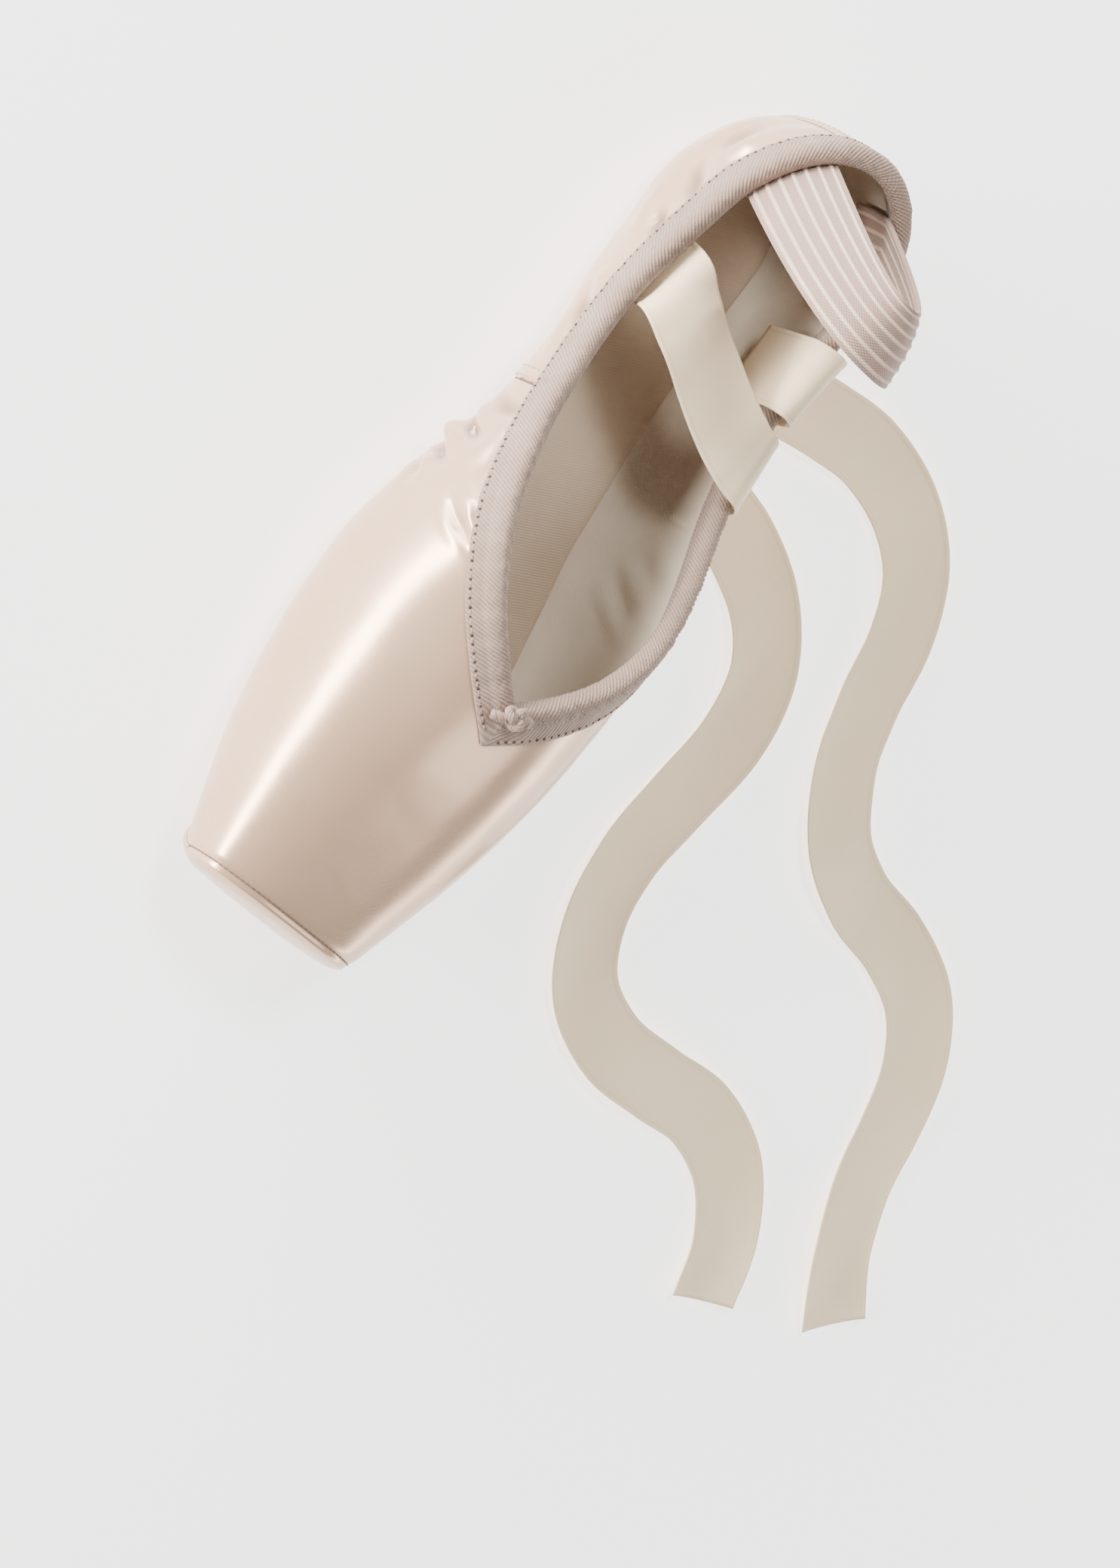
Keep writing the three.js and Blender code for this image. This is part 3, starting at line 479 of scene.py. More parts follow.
def engravingGroup():
    # Cross-hatch on the sole with a bare pentagon at the waist. Sole holds x and y in mm.
    cut = {"tipX": 112.0, "slope": 0.636, "cornerX": 134.0, "closing": 0.556, "frontX": 143.0,
           "pitchAlong": 9.4, "pitchAcross": 7.6, "line": 0.3, "outline": 0.36}
    tree, given, result = newGroup("soleEngraving", [("Sole", "Vector", None)], [("Line", "Float")])
    do = partial(compute, tree)
    apart = partsOf(tree, given["Sole"])
    x, y = apart[0], do("ABSOLUTE", apart[1])
    ahead = do("MULTIPLY", do("SUBTRACT", x, cut["tipX"]), cut["slope"])
    closing = do("MULTIPLY_ADD", do("SUBTRACT", x, cut["cornerX"]), -cut["closing"],
                 (cut["cornerX"] - cut["tipX"]) * cut["slope"])
    lines = []
    for sign in (1, -1):
        step = do("ADD", do("DIVIDE", x, cut["pitchAlong"]), do("MULTIPLY", apart[1], sign / cut["pitchAcross"]))
        lines.append(do("LESS_THAN", do("PINGPONG", step, 0.5), cut["line"] / 6.2))

    def near(first, second, width):
        return do("LESS_THAN", do("ABSOLUTE", do("SUBTRACT", first, second)), width)

    behindFront = do("LESS_THAN", x, cut["frontX"])
    withinSides = do("GREATER_THAN", closing, y)
    outside = do("SUBTRACT", 1.0, do("MULTIPLY", withinSides, behindFront))
    hatch = do("MULTIPLY", do("MAXIMUM", *lines), do("MULTIPLY", do("GREATER_THAN", ahead, y), outside))
    edge = near(ahead, y, cut["outline"])
    side = do("MULTIPLY", near(closing, y, cut["outline"]),
              do("MULTIPLY", do("GREATER_THAN", x, cut["cornerX"]), behindFront))
    front = do("MULTIPLY", near(x, cut["frontX"], cut["line"]), withinSides)
    tree.links.new(do("MAXIMUM", do("MAXIMUM", hatch, edge), do("MAXIMUM", side, front)), result["Line"])
    return tree


def newMaterial(name, **fixed):
    material = bpy.data.materials.new(name)
    material.use_nodes = True
    tree = material.node_tree
    tree.nodes.clear()
    shader = addNode(tree, "BsdfPrincipled")
    for key, value in fixed.items():
        shader.inputs[key.replace("_", " ")].default_value = value
    output = addNode(tree, "OutputMaterial")
    tree.links.new(shader.outputs[0], output.inputs[0])
    spots = addNode(tree, "TexCoord").outputs
    return material, tree, shader, spots["UV"], spots["Object"]


def relief(tree, shader, height, depth):
    bump = addNode(tree, "Bump", {"Height": height, "Distance": depth / 1000})
    tree.links.new(bump.outputs[0], shader.inputs["Normal"])


clothTone, threads, satinFloats = toneGroup(), threadGroup(), sheenGroup()
leatherGrain, soleEngraving = grainGroup(), engravingGroup()


def toneOf(tree, position, look):
    return useGroup(tree, clothTone, {
        "Position": position, "Colour": (*look["colour"], 1), "Shade": (*look["shade"], 1),
        "Scale": look["patches"], "Amount": look["amount"], "Roughness": look["roughness"], "Wander": look["wander"]})


def dyed(tree, shader, position, look, weave, amount):
    # The cloth's tone, its shade by the amount given, and the weave's relief
    tone = toneOf(tree, position, look)
    tree.links.new(mixColour(tree, amount, tone["Colour"], (*look["shade"], 1)), shader.inputs["Base Color"])
    tree.links.new(tone["Roughness"], shader.inputs["Roughness"])
    relief(tree, shader, weave, look["relief"])


def weaveOf(tree, cloth, look):
    return useGroup(tree, threads, {"Cloth": cloth, "Along": look["along"], "Across": look["across"],
                                    "Slant": look["slant"], "Uneven": look["uneven"]})["Height"]


def clothMaterial(name, look, **fixed):
    material, tree, shader, cloth, position = newMaterial(name, **fixed)
    weave = weaveOf(tree, cloth, look)
    # Darker down between the threads: painted shade in the weave's hollows
    amount = compute(tree, "MULTIPLY", compute(tree, "SUBTRACT", 1.0, weave), look["between"])
    if "hemLine" in look:
        wide = compute(tree, "ABSOLUTE", partsOf(tree, cloth)[1])
        near = compute(tree, "ABSOLUTE", compute(tree, "SUBTRACT", wide, look["hemLine"]))
        amount = compute(tree, "MAXIMUM", amount, rangeOf(tree, near, 0.12, 0.35, 0.75, 0.0))
    dyed(tree, shader, position, look, weave, amount)
    return material


def satinMaterial(name, look):
    material, tree, shader, cloth, position = newMaterial(
        name, Sheen_Weight=look["sheen"], Sheen_Roughness=0.35, Specular_IOR_Level=look["specular"],
        Metallic=look["metallic"])
    floats = useGroup(tree, satinFloats, {"Cloth": cloth, "Position": position, "Fine": look["fine"],
                                          "Crease": look["crease"], "Creasing": look["creasing"]})
    tone = toneOf(tree, position, look)
    # Satin's colour is mixed darker down in its folds: painted shade, where less of the light comes in
    fold = addNode(tree, "Attribute", attribute_name="fold").outputs["Fac"]
    shadedSatin = mixColour(tree, rangeOf(tree, fold, 0.35, 1.7, 0.0, 0.8), tone["Colour"], (*look["foldShade"], 1))
    tree.links.new(shadedSatin, shader.inputs["Base Color"])
    swing = compute(tree, "MULTIPLY", compute(tree, "SUBTRACT", floats["Streak"], 0.5), 0.08)
    tree.links.new(compute(tree, "ADD", tone["Roughness"], swing), shader.inputs["Roughness"])
    relief(tree, shader, floats["Height"], look["relief"])
    return material


def elasticMaterial(name, look):
    # Pale raised cords with a darker knit between them: painted shade in the grooves between the cords and in the
    # knit's hollows
    material, tree, shader, cloth, position = newMaterial(name, Sheen_Weight=0.2)
    do = partial(compute, tree)
    knit = weaveOf(tree, cloth, look)
    ribs = do("FRACT", do("DIVIDE", partsOf(tree, cloth)[1], look["ribPitch"]))
    apart = do("ABSOLUTE", do("SUBTRACT", ribs, 0.5))
    cord = rangeOf(tree, apart, look["cordHalf"] * 1.5, look["cordHalf"] * 0.7)
    amount = do("MULTIPLY", do("MULTIPLY_ADD", knit, -0.5, 1.15), do("SUBTRACT", 1.0, cord))
    dyed(tree, shader, position, look, knit, amount)
    return material


def plainMaterial(name, colour, roughness, grain):
    material, tree, shader, _, position = newMaterial(name)
    tone = toneOf(tree, position, {"colour": colour, "shade": [value * 0.7 for value in colour], "patches": grain,
                                   "amount": 0.5, "roughness": roughness, "wander": 0.15})
    tree.links.new(tone["Colour"], shader.inputs["Base Color"])
    tree.links.new(tone["Roughness"], shader.inputs["Roughness"])
    relief(tree, shader, noiseOf(tree, position, grain * 4, 3.0), 0.12)
    return material


# The darkest satin colour below is painted shade, mixed into the satin down in its folds
satinLook = {"colour": (0.625, 0.422, 0.282), "shade": (0.515, 0.323, 0.205), "foldShade": (0.2, 0.125, 0.085),
             "patches": 22.0, "amount": 0.5, "roughness": 0.255, "wander": 0.12, "specular": 0.6, "metallic": 0.5,
             "sheen": 0.12, "fine": 5.0, "crease": 62.0, "creasing": 0.5, "relief": 0.55}
# Each cloth's shade colour serves both its tone patches and the painted shade between its threads
tapeLook = {"colour": (0.37, 0.258, 0.195), "shade": (0.13, 0.08, 0.055), "patches": 60.0, "amount": 0.3,
            "roughness": 0.72, "wander": 0.1, "along": 1.15, "across": 0.6, "slant": 0.8, "uneven": 0.25,
            "between": 0.7, "relief": 0.22}
ribbonLook = {"colour": (0.87, 0.7, 0.46), "shade": (0.75, 0.58, 0.37), "patches": 25.0, "amount": 0.35,
              "roughness": 0.46, "wander": 0.12, "along": 0.5, "across": 0.5, "slant": 0.0, "uneven": 0.1,
              "between": 0.3, "relief": 0.05, "hemLine": 9.7}
elasticLook = {"colour": (0.63, 0.46, 0.36), "shade": (0.24, 0.155, 0.115), "patches": 50.0, "amount": 0.3,
               "roughness": 0.74, "wander": 0.1, "along": 1.1, "across": 1.0, "slant": 0.0, "uneven": 0.3,
               "relief": 0.14, "ribPitch": 4.0, "cordHalf": 0.13}
liningLook = {"colour": (0.66, 0.57, 0.455), "shade": (0.5, 0.41, 0.31), "patches": 40.0, "amount": 0.4,
              "roughness": 0.82, "wander": 0.08, "along": 0.6, "across": 0.6, "slant": 0.0, "uneven": 0.3,
              "between": 0.4, "relief": 0.08}
boardLook = {"colour": (0.5, 0.39, 0.285), "shade": (0.36, 0.265, 0.18), "patches": 30.0, "amount": 0.5,
             "roughness": 0.78, "wander": 0.12, "along": 0.8, "across": 0.8, "slant": 0.5, "uneven": 0.4,
             "between": 0.25, "relief": 0.06}
satin = satinMaterial("ivorySatin", satinLook)
tape = clothMaterial("twillTape", tapeLook, Sheen_Weight=0.2)
knotTape = clothMaterial("knotTape", {**tapeLook, "along": 0.8, "between": 0.6, "relief": 0.12}, Sheen_Weight=0.2)
ribbonCloth = clothMaterial("ribbonCloth", ribbonLook, Sheen_Weight=0.3, Sheen_Roughness=0.3)
elasticKnit = elasticMaterial("elasticKnit", elasticLook)
lining = clothMaterial("cottonLining", liningLook)
board = clothMaterial("insoleBoard", boardLook)
satinThread = plainMaterial("satinThread", (0.4, 0.29, 0.22), 0.6, 500.0)
seamShadow = plainMaterial("seamShadow", (0.14, 0.085, 0.06), 0.7, 500.0)
soleThread = plainMaterial("soleThread", (0.72, 0.64, 0.5), 0.7, 400.0)
# Near black: painted shade in the needle holes
needleHoleShade = plainMaterial("needleHoleShade", (0.05, 0.03, 0.02), 0.9, 300.0)


def soleMaterial(name, colour, burnt, engraved):
    material, tree, shader, cloth, position = newMaterial(name, Roughness=0.82)
    grain = useGroup(tree, leatherGrain, {"Position": position, "Colour": (*colour, 1)})
    line = useGroup(tree, soleEngraving, {"Sole": cloth})["Line"]
    rim = partsOf(tree, addNode(tree, "UVMap", uv_map="rim").outputs[0])[0]
    border = rangeOf(tree, rim, 4.2, 5.6, 0.45, 0.0)
    amount = compute(tree, "MAXIMUM", border, compute(tree, "MULTIPLY", line, engraved))
    tree.links.new(mixColour(tree, amount, grain["Colour"], (*burnt, 1)), shader.inputs["Base Color"])
    height = compute(tree, "MULTIPLY_ADD", line, -2.2, compute(tree, "MULTIPLY", grain["Height"], 0.5))
    relief(tree, shader, height, 0.16)
    return material


soleLeather = soleMaterial("soleLeather", (0.25, 0.155, 0.095), (0.045, 0.025, 0.014), 0.85)
print("materials ready")

# The camera stands where the photograph was taken from, seen from the shoe, and rolls with it
view = {
    "place": (321.7, -627.1, 1015.0), "right": (-0.574, 0.595, 0.563), "forward": (-0.162, 0.592, -0.790),
    "aimRight": -0.0602, "aimDown": 0.0091, "lens": 105.5,
}


def makeCamera():
    forward, right = Vector(view["forward"]), Vector(view["right"])
    down = forward.cross(right)
    forward = (forward + right * view["aimRight"] + down * view["aimDown"]).normalized()
    right = (right - forward * right.dot(forward)).normalized()
    up = -forward.cross(right)
    camera = bpy.data.objects.new("camera", bpy.data.cameras.new("camera"))
    camera.data.lens = view["lens"]
    camera.data.clip_end = 20
    camera.matrix_world = Matrix.Translation(Vector(toMetres(view["place"]).tolist())) @ Matrix(
        (right, up, -forward)).transposed().to_4x4()
    bpy.context.collection.objects.link(camera)
    bpy.context.scene.camera = camera


makeCamera()
print("camera placed")

ribbonSizes = {
    "width": 22.0, "thickness": 0.42, "selvedge": 0.7, "selvedgeRise": 0.14, "samples": 300,
    "fromEdge": (0, 0.3, 0.7, 1.1, 1.5, 2.1, 3.5, 5.5, 8.0),
    "lift": 1.5, "curl": 0.8, "floorGap": 0.3,
}
ribbonRoutes = {
    "ribbon_right": (0.12, [
        (60, -23.6, 19), (60, -23.6, 32), (62, -21.5, 38.5), (67, -13, 41), (73, 0, 40.5), (79, 13, 41), (83, 24, 42),
        (84, 30.5, 41.6), (84.5, 34.4, 37), (85, 35, 28), (85.5, 35.6, 17), (86, 37.5, 8), (87, 42.5, 2.6),
        (88.5, 52, 0.8), (91, 66, 0.6), (99, 83, 0.6), (114, 96, 0.6), (134, 102, 0.6), (155, 100, 0.6), (176, 97, 0.6),
        (196, 100, 0.6), (212, 111, 0.6), (220, 129, 0.6), (220, 149, 0.6), (219, 169, 0.6), (226, 188, 0.6),
        (241, 201, 0.6), (260, 208, 0.6)]),
    "ribbon_left": (-0.2, [
        (57, 23, 17), (57, 23, 33), (57, 24.2, 39.5), (57, 27.5, 42.6), (57, 31.6, 41.4), (57, 33.6, 36), (57, 34, 27),
        (56.5, 34.8, 16), (56, 37, 8), (55, 42, 2.6), (53, 51, 0.8), (50, 66, 0.6), (48, 84, 0.6), (52, 103, 0.6),
        (63, 119, 0.6), (80, 129, 0.6), (100, 134, 0.6), (119, 140, 0.6), (135, 152, 0.6), (143, 170, 0.6),
        (146, 190, 0.6), (154, 209, 0.6), (169, 222, 0.6), (188, 229, 0.6), (208, 233, 0.6), (227, 241, 0.6),
        (242, 254, 0.6)]),
}


def routeCurve(route, samples):
    # The same centripetal spline as the CAD's, at even steps of length
    points = np.array(route, float)
    points = np.concatenate([[2 * points[0] - points[1]], points, [2 * points[-1] - points[-2]]])
    dense = []
    for k in range(1, len(points) - 2):
        p0, p1, p2, p3 = points[k - 1:k + 3]
        d0, d1, d2 = (max(np.linalg.norm(b - a) ** 0.5, 1e-4) for a, b in ((p0, p1), (p1, p2), (p2, p3)))
        m1 = ((p1 - p0) / d0 - (p2 - p0) / (d0 + d1) + (p2 - p1) / d1) * d1
        m2 = ((p2 - p1) / d1 - (p3 - p1) / (d1 + d2) + (p3 - p2) / d2) * d1
        t = np.linspace(0, 1, 24, endpoint=False)[:, None]
        dense.append((2 * t ** 3 - 3 * t ** 2 + 1) * p1 + (t ** 3 - 2 * t ** 2 + t) * m1
                     + (3 * t ** 2 - 2 * t ** 3) * p2 + (t ** 3 - t ** 2) * m2)
    dense = np.concatenate(dense + [points[-2:-1]])
    lengths = along(dense)
    return sampled(np.linspace(0, lengths[-1], samples), lengths, dense), lengths[-1]


def makeRibbon(name, tilt, route, phase):
    look = ribbonSizes
    centre, length = routeCurve(route, look["samples"])
    forward = unit(np.gradient(centre, axis=0))
    raised = np.clip((centre[:, 2:] - 2) / shoe["sideHeight"], 0, 1)
    steep = np.concatenate([np.full_like(raised, -1), np.zeros_like(raised), -tilt * raised], 1)
    steep = unit(steep - forward * (steep * forward).sum(1, keepdims=True))
    lying = unit(np.cross((0, 0, 1), forward))
    weight = smoothStep(1.2, 9, centre[:, 2:])
    side = unit(lerp(lying, steep, weight))
    face = unit(np.cross(forward, side))
    s = np.linspace(0, length, look["samples"])
    across = 1 - np.array(look["fromEdge"]) / (look["width"] / 2)
    across = np.concatenate([-across, [0], across[::-1]])
    edge = 1 - np.abs(across)
    fromHem = (edge * look["width"] / 2 - look["selvedge"]) / 0.4
    thick = look["thickness"] / 2 + look["selvedgeRise"] * np.exp(-fromHem ** 2)
    turn = np.gradient(np.unwrap(np.arctan2(forward[:, 1], forward[:, 0])), s) * 40
    turn = smoothed(turn[:, None], 17)[:, 0]
    floor = 1 - weight[:, 0]
    loose = smoothStep(30, 75, s) * floor
    wave = (1 - np.cos(s / 11.5 + phase)) * (0.35 + 0.65 * np.sin(s / 39 + phase) ** 2) * look["lift"] * loose
    tipped = across[None] * np.clip(-turn, -1.6, 1.6)[:, None] * loose[:, None]
    height = wave[:, None] * (0.75 + 0.25 * np.sin(across * 2.2 + s[:, None] / 17)) + np.clip(tipped, 0, 3) * 1.7
    height = height + look["curl"] * np.abs(across) ** 3 * loose[:, None]
    middle = centre[:, None] + side[:, None] * across[None, :, None] * look["width"] / 2
    middle[..., 2] += height
    low = look["floorGap"] + look["thickness"]
    middle[..., 2] = np.maximum(middle[..., 2], low)
    up = unit(np.cross(np.gradient(middle, axis=0), np.gradient(middle, axis=1)))
    sign = np.sign((up * face[:, None]).sum(-1, keepdims=True))
    up = up * sign
    top, under = middle + up * thick[None, :, None], middle - up * thick[None, :, None]
    ring = np.concatenate([top, under[:, ::-1]], 1)
    flat = np.stack(np.broadcast_arrays(s[:, None], across[None] * look["width"] / 2), -1)
    uv = np.concatenate([flat, flat[:, ::-1], flat[:, :1]], 1)
    ends = endCaps(top, under, flat, (True, False))
    piece = meshPiece(name + "_cloth", [(ring, uv, True, True, 0)] + ends, [ribbonCloth], [name])
    toMetres(route[0]).tolist()
    toMetres(centre[::4]).tolist()


for phase, (name, (tilt, route)) in enumerate(ribbonRoutes.items()):
    makeRibbon(name, tilt, route, 1.7 * phase)
print("ribbons laid")

# Troughs (below 0) and ridges of the satin: stations and shares along each, depth and width in mm
creases = {
    "right": [
        ([(9, 0.58), (15, 0.56), (21, 0.51)], -0.95, 4.2), ([(23, 0.53), (27, 0.5), (31, 0.46)], -1.2, 3.0),
        ([(30, 0.37), (36, 0.42), (42, 0.47)], -1.0, 3.2), ([(46, 0.37), (52, 0.41), (58, 0.45)], -1.15, 2.7),
        ([(61, 0.41), (67, 0.42), (72, 0.39)], -0.7, 2.6), ([(75, 0.32), (81, 0.36), (86, 0.41)], -1.1, 3.0),
        ([(38, 0.32), (48, 0.33), (58, 0.36)], 0.6, 3.6), ([(16, 0.42), (22, 0.4), (28, 0.41)], -0.8, 3.4),
        ([(109, 0.32), (113, 0.42), (113, 0.54)], -0.9, 3.2), ([(116, 0.30), (121, 0.37), (124, 0.47)], -1.5, 2.5),
        ([(120, 0.29), (125, 0.36), (129, 0.45)], 1.0, 2.1), ([(124, 0.29), (130, 0.36), (134, 0.45)], -1.4, 2.2),
        ([(130, 0.31), (136, 0.37), (141, 0.42)], -0.8, 2.2), ([(141, 0.57), (146, 0.64), (150, 0.72)], -0.8, 2.0),
        ([(137, 0.56), (143, 0.63), (147, 0.7)], 0.5, 2.0), ([(118, 0.6), (126, 0.56), (136, 0.57)], -0.6, 3.4),
        ([(88, 0.33), (93, 0.38), (96, 0.44)], 0.5, 2.6), ([(66, 0.33), (70, 0.36), (74, 0.41)], 0.5, 2.6),
    ],
    "left": [
        ([(12, 0.56), (18, 0.53), (24, 0.49)], -0.9, 4.0), ([(28, 0.5), (33, 0.45), (38, 0.41)], -1.1, 3.2),
        ([(50, 0.45), (56, 0.41), (62, 0.37)], -1.0, 3.0), ([(80, 0.4), (85, 0.37), (90, 0.33)], -0.9, 3.2),
        ([(46, 0.42), (60, 0.37), (76, 0.36)], 0.8, 4.4), ([(110, 0.34), (115, 0.44), (117, 0.56)], -0.8, 3.0),
        ([(117, 0.30), (123, 0.38), (127, 0.47)], -1.4, 2.6), ([(122, 0.29), (128, 0.36), (132, 0.44)], 0.9, 2.2),
        ([(127, 0.30), (133, 0.37), (138, 0.46)], -1.2, 2.3), ([(138, 0.54), (144, 0.62), (148, 0.7)], -0.7, 2.2),
        ([(68, 0.48), (78, 0.42), (88, 0.38)], -0.7, 3.0), ([(120, 0.62), (130, 0.58), (140, 0.6)], -0.5, 3.2),
    ],
}
upperLook = {
    "creasing": 1.6,
    "seamTop": 104.0, "seamFoot": 97.0, "seamDepth": 1.15, "seamWidth": 0.5, "seamStep": 0.35,
    "gather": 0.42, "gatherReach": 8.0, "pucker": 0.16, "puckerReach": 5.0, "slack": 0.3,
}


def seamLine(samples, behind=0.0):
    # Stations and shares of the side seam, from the collar down to under the sole
    t = np.linspace(0, 1, samples)
    u = lerp(upperLook["seamTop"], upperLook["seamFoot"], t) + 2.2 * np.sin(math.pi * t) - behind
    return u, lerp(collarShare(u), openingShare(u), t)


def waves(at, seed):
    # An uneven ripple between -1 and 1
    return (np.sin(at * 1.13 + seed) + np.sin(at * 0.71 + 2.3 * seed) * 0.8
            + np.sin(at * 1.9 + 0.7 * seed) * 0.45) / 2.25


def satinRelief(u, share, points, side):
    # How far the satin lies above or below the last, in mm
    look = upperLook
    height = np.zeros(points.shape[:2])
    flat = points.reshape(-1, 3)
    for path, depth, width in creases["right" if side < 0 else "left"]:
        path = np.array(path, float)
        t = np.linspace(0, 1, 26)
        stops = sampled(t, np.linspace(0, 1, len(path)), path)
        d, nearest = nearestOn(flat, onLast(stops[:, 0], stops[:, 1:])[:, 0])
        d = d / width
        fade = np.sin(math.pi * np.clip(t[nearest], 0.03, 0.97)) ** 0.7
        profile = np.exp(-d * d) - 0.35 * np.exp(-((d - 1.9) / 0.8) ** 2)
        height += (look["creasing"] * depth * fade * profile).reshape(height.shape)
    station = u[:, None]
    total = totalAt(u)[:, None]
    edge = (share - openingShare(u)[:, None]) * total - shoe["lastingMargin"]
    collarGap = (collarShare(u)[:, None] - share) * total
    quarter = smoothStep(178, 120, station)
    seed = 1.0 if side < 0 else 4.2
    ripple = waves(u * 0.62, seed)[:, None] * (0.25 + 0.75 * quarter)
    height += look["gather"] * ripple * np.exp(-np.clip(edge, 0, 60) / look["gatherReach"])
    pucker = waves(u * 1.35, seed + 1)[:, None] * quarter
    height += look["pucker"] * pucker * np.exp(-np.clip(collarGap - 8, 0, 60) / look["puckerReach"])
    x, z = points[..., 0] / 10, points[..., 2] / 10
    height += look["slack"] * np.sin(x * 1.3 + z * 1.9 + seed) * np.sin(x * 0.7 - z * 1.1 + seed) * quarter
    seamU, seamShare = seamLine(80)
    line = onLast(seamU, seamShare[:, None])[:, 0]
    d, nearest = nearestOn(flat, line)
    d = d.reshape(height.shape)
    ahead = (flat[:, 0] - line[nearest, 0]).reshape(height.shape)
    height -= look["seamDepth"] * np.exp(-(d / look["seamWidth"]) ** 2)
    height += look["seamStep"] * np.exp(-((d - 2.2) / 2.2) ** 2) * (ahead < 0)
    clear = smoothStep(8.3, 11.5, collarGap) * smoothStep(-0.5, 2.5, edge)
    clear = clear * np.where(station > 190, smoothStep(1.5, 6, shoe["length"] - station), 1)
    heel = smoothStep(10.5, 15, np.abs(points[..., 1]))
    return height * clear * np.where(station < shoe["heelRound"], heel, 1)


def makeUpper():
    across = 86
    u = run(farEnd, (252, 4), (247, 8), (throatX, 60), (throatX - 40, 60), (110, 30), (93, 50),
            (shoe["heelRound"], 62), (0, 44))
    share = np.linspace(openingShare(u), collarShare(u), across, axis=1)
    base, normal = onLast(u, share), normalsOn(u, share)
    uv = np.stack(np.broadcast_arrays(u[:, None] + 0 * share, share * totalAt(u)[:, None]), -1)
    columns = np.unique(np.concatenate([np.arange(0, across, 3), [across - 1]]))
    rows = np.unique(np.concatenate([np.arange(0, len(u), 2), [len(u) - 1]]))
    grids, places, depths = [], [], []
    for side in (-1, 1):
        height = satinRelief(u, share, base, side)
        outer = base + normal * height[..., None]
        inner = base - normal * wallAt(u)[:, None, None] + normal * (0.25 * height)[..., None]
        if side > 0:
            outer, inner = mirrored(outer), mirrored(inner)
        places.append(toMetres(outer).reshape(-1, 3))
        depths.append(np.clip(-height, 0, None).ravel())
        grids.append((outer, uv, False, side < 0, 0))
        grids.append((inner[rows][:, columns], uv[rows][:, columns], False, side > 0, 1))
        for column, flip, cut in ((0, side > 0, openingShare(u) > 0), (across - 1, side < 0, u < throatX + 0.1)):
            rim = np.stack([outer[cut, column], inner[cut, column]], 1)
            grids.append((rim, np.stack([uv[cut, column], uv[cut, column] + (0, 2)], 1), False, flip, 1))
    piece = meshPiece("upper_satin", grids, [satin, lining], ["upper"])
    # Each point keeps the depth of the fold that it lies in, for the painted shade in the satin's colour
    places, depths = np.concatenate(places), np.concatenate(depths)
    finder = KDTree(len(places))
    for k, spot in enumerate(places):
        finder.insert(spot, k)
    finder.balance()
    fold = piece.data.attributes.new("fold", "FLOAT", "POINT")
    fold.data.foreach_set("value", [depths[finder.find(vertex.co)[1]] for vertex in piece.data.vertices])


makeUpper()
print("upper draped")

tapeSizes = {
    "width": 8.5, "inside": 6.0, "thickness": 0.9, "gap": 0.4, "swell": 0.55,
    "ribPitch": 1.55, "ribRise": 0.27, "ribSlant": 0.9, "gathers": 0.9, "gatherReach": 22.0,
    "samples": 440, "turn": 4.5,
}


def collarEdge(samples):
    # Even points along the collar's right half from the throat to the back seam, with the way out and down
    u = run(throatX, (throatX - 6, 120), (throatX - 40, 200), (shoe["heelRound"], 200), (0, 120))
    share = collarShare(u)[:, None]
    edge, normal = onLast(u, share)[:, 0], normalsOn(u, share)[:, 0]
    s = along(edge)
    at = np.linspace(0, s[-1], samples)
    edge, normal, u = sampled(at, s, edge), unit(sampled(at, s, normal)), np.interp(at, s, u)
    before = np.concatenate([mirrored(edge[1:2]), edge[:-1]])
    after = np.concatenate([edge[1:], mirrored(edge[-2:-1])])
    tangent = unit(after - before)
    down = unit(np.cross(normal, tangent))
    down[1:] = unit(smoothed(down[1:], 9))
    first = np.searchsorted(at, tapeSizes["turn"])
    side = unit(np.cross(normal[0], edge[first] - edge[0])[None])[0]
    mitre = 1 / max(down[0] @ side, 0.5)
    t = np.clip(at / tapeSizes["turn"], 0, 1)[:, None]
    down = np.where(t < 1, lerp(down[0] * mitre, down[first], t), down)
    return at, u, edge, normal, down


edgeS, edgeU, edgePoints, edgeNormals, edgeDown = collarEdge(tapeSizes["samples"])


def besideCollar(drop, out):
    # Points beside the collar's edge: drop below it on the last's surface, and out from there
    points = edgePoints + edgeDown * np.maximum(drop, 0)[:, None]
    points[:, 1] = np.minimum(points[:, 1], 0)
    u, share = locate(points)
    on, normal = onLast(u, share[:, None])[:, 0], normalsOn(u, share[:, None])[:, 0]
    low = (drop <= 0.05)[:, None]
    return np.where(low, edgePoints + edgeDown * drop[:, None] + edgeNormals * out[:, None], on + normal * out[:, None])


def tapeSection(wall):
    size = tapeSizes
    out = size["gap"] + size["thickness"]
    over = out + size["swell"]
    points = [
        (size["width"], size["gap"] + 0.1), (size["width"] + 0.05, out - 0.35), (size["width"] - 0.3, out - 0.02),
        (size["width"] - 1.0, out + 0.02), (6.0, out), (4.9, out - 0.02), (4.1, out - 0.14), (3.75, out - 0.05),
        (3.3, out + 0.25), (2.4, over), (1.2, over + 0.12), (0.1, over), (-0.9, out + 0.05), (-1.55, 0.45),
        (-1.85, -wall / 2), (-1.55, -wall - 0.45), (-0.9, -wall - out - 0.05), (0.1, -wall - over),
        (1.2, -wall - over - 0.1), (2.4, -wall - over + 0.1), (3.4, -wall - out - 0.1), (4.2, -wall - out + 0.1),
        (size["inside"], -wall - out + 0.05),
        (size["inside"], -wall - size["gap"]), (3.0, -wall - size["gap"]), (0.2, -wall - size["gap"]),
        (-0.3, -wall / 2), (0.2, size["gap"] * 0.6), (3.0, size["gap"] * 0.6), (6.0, size["gap"] * 0.7),
    ]
    return np.array(points)


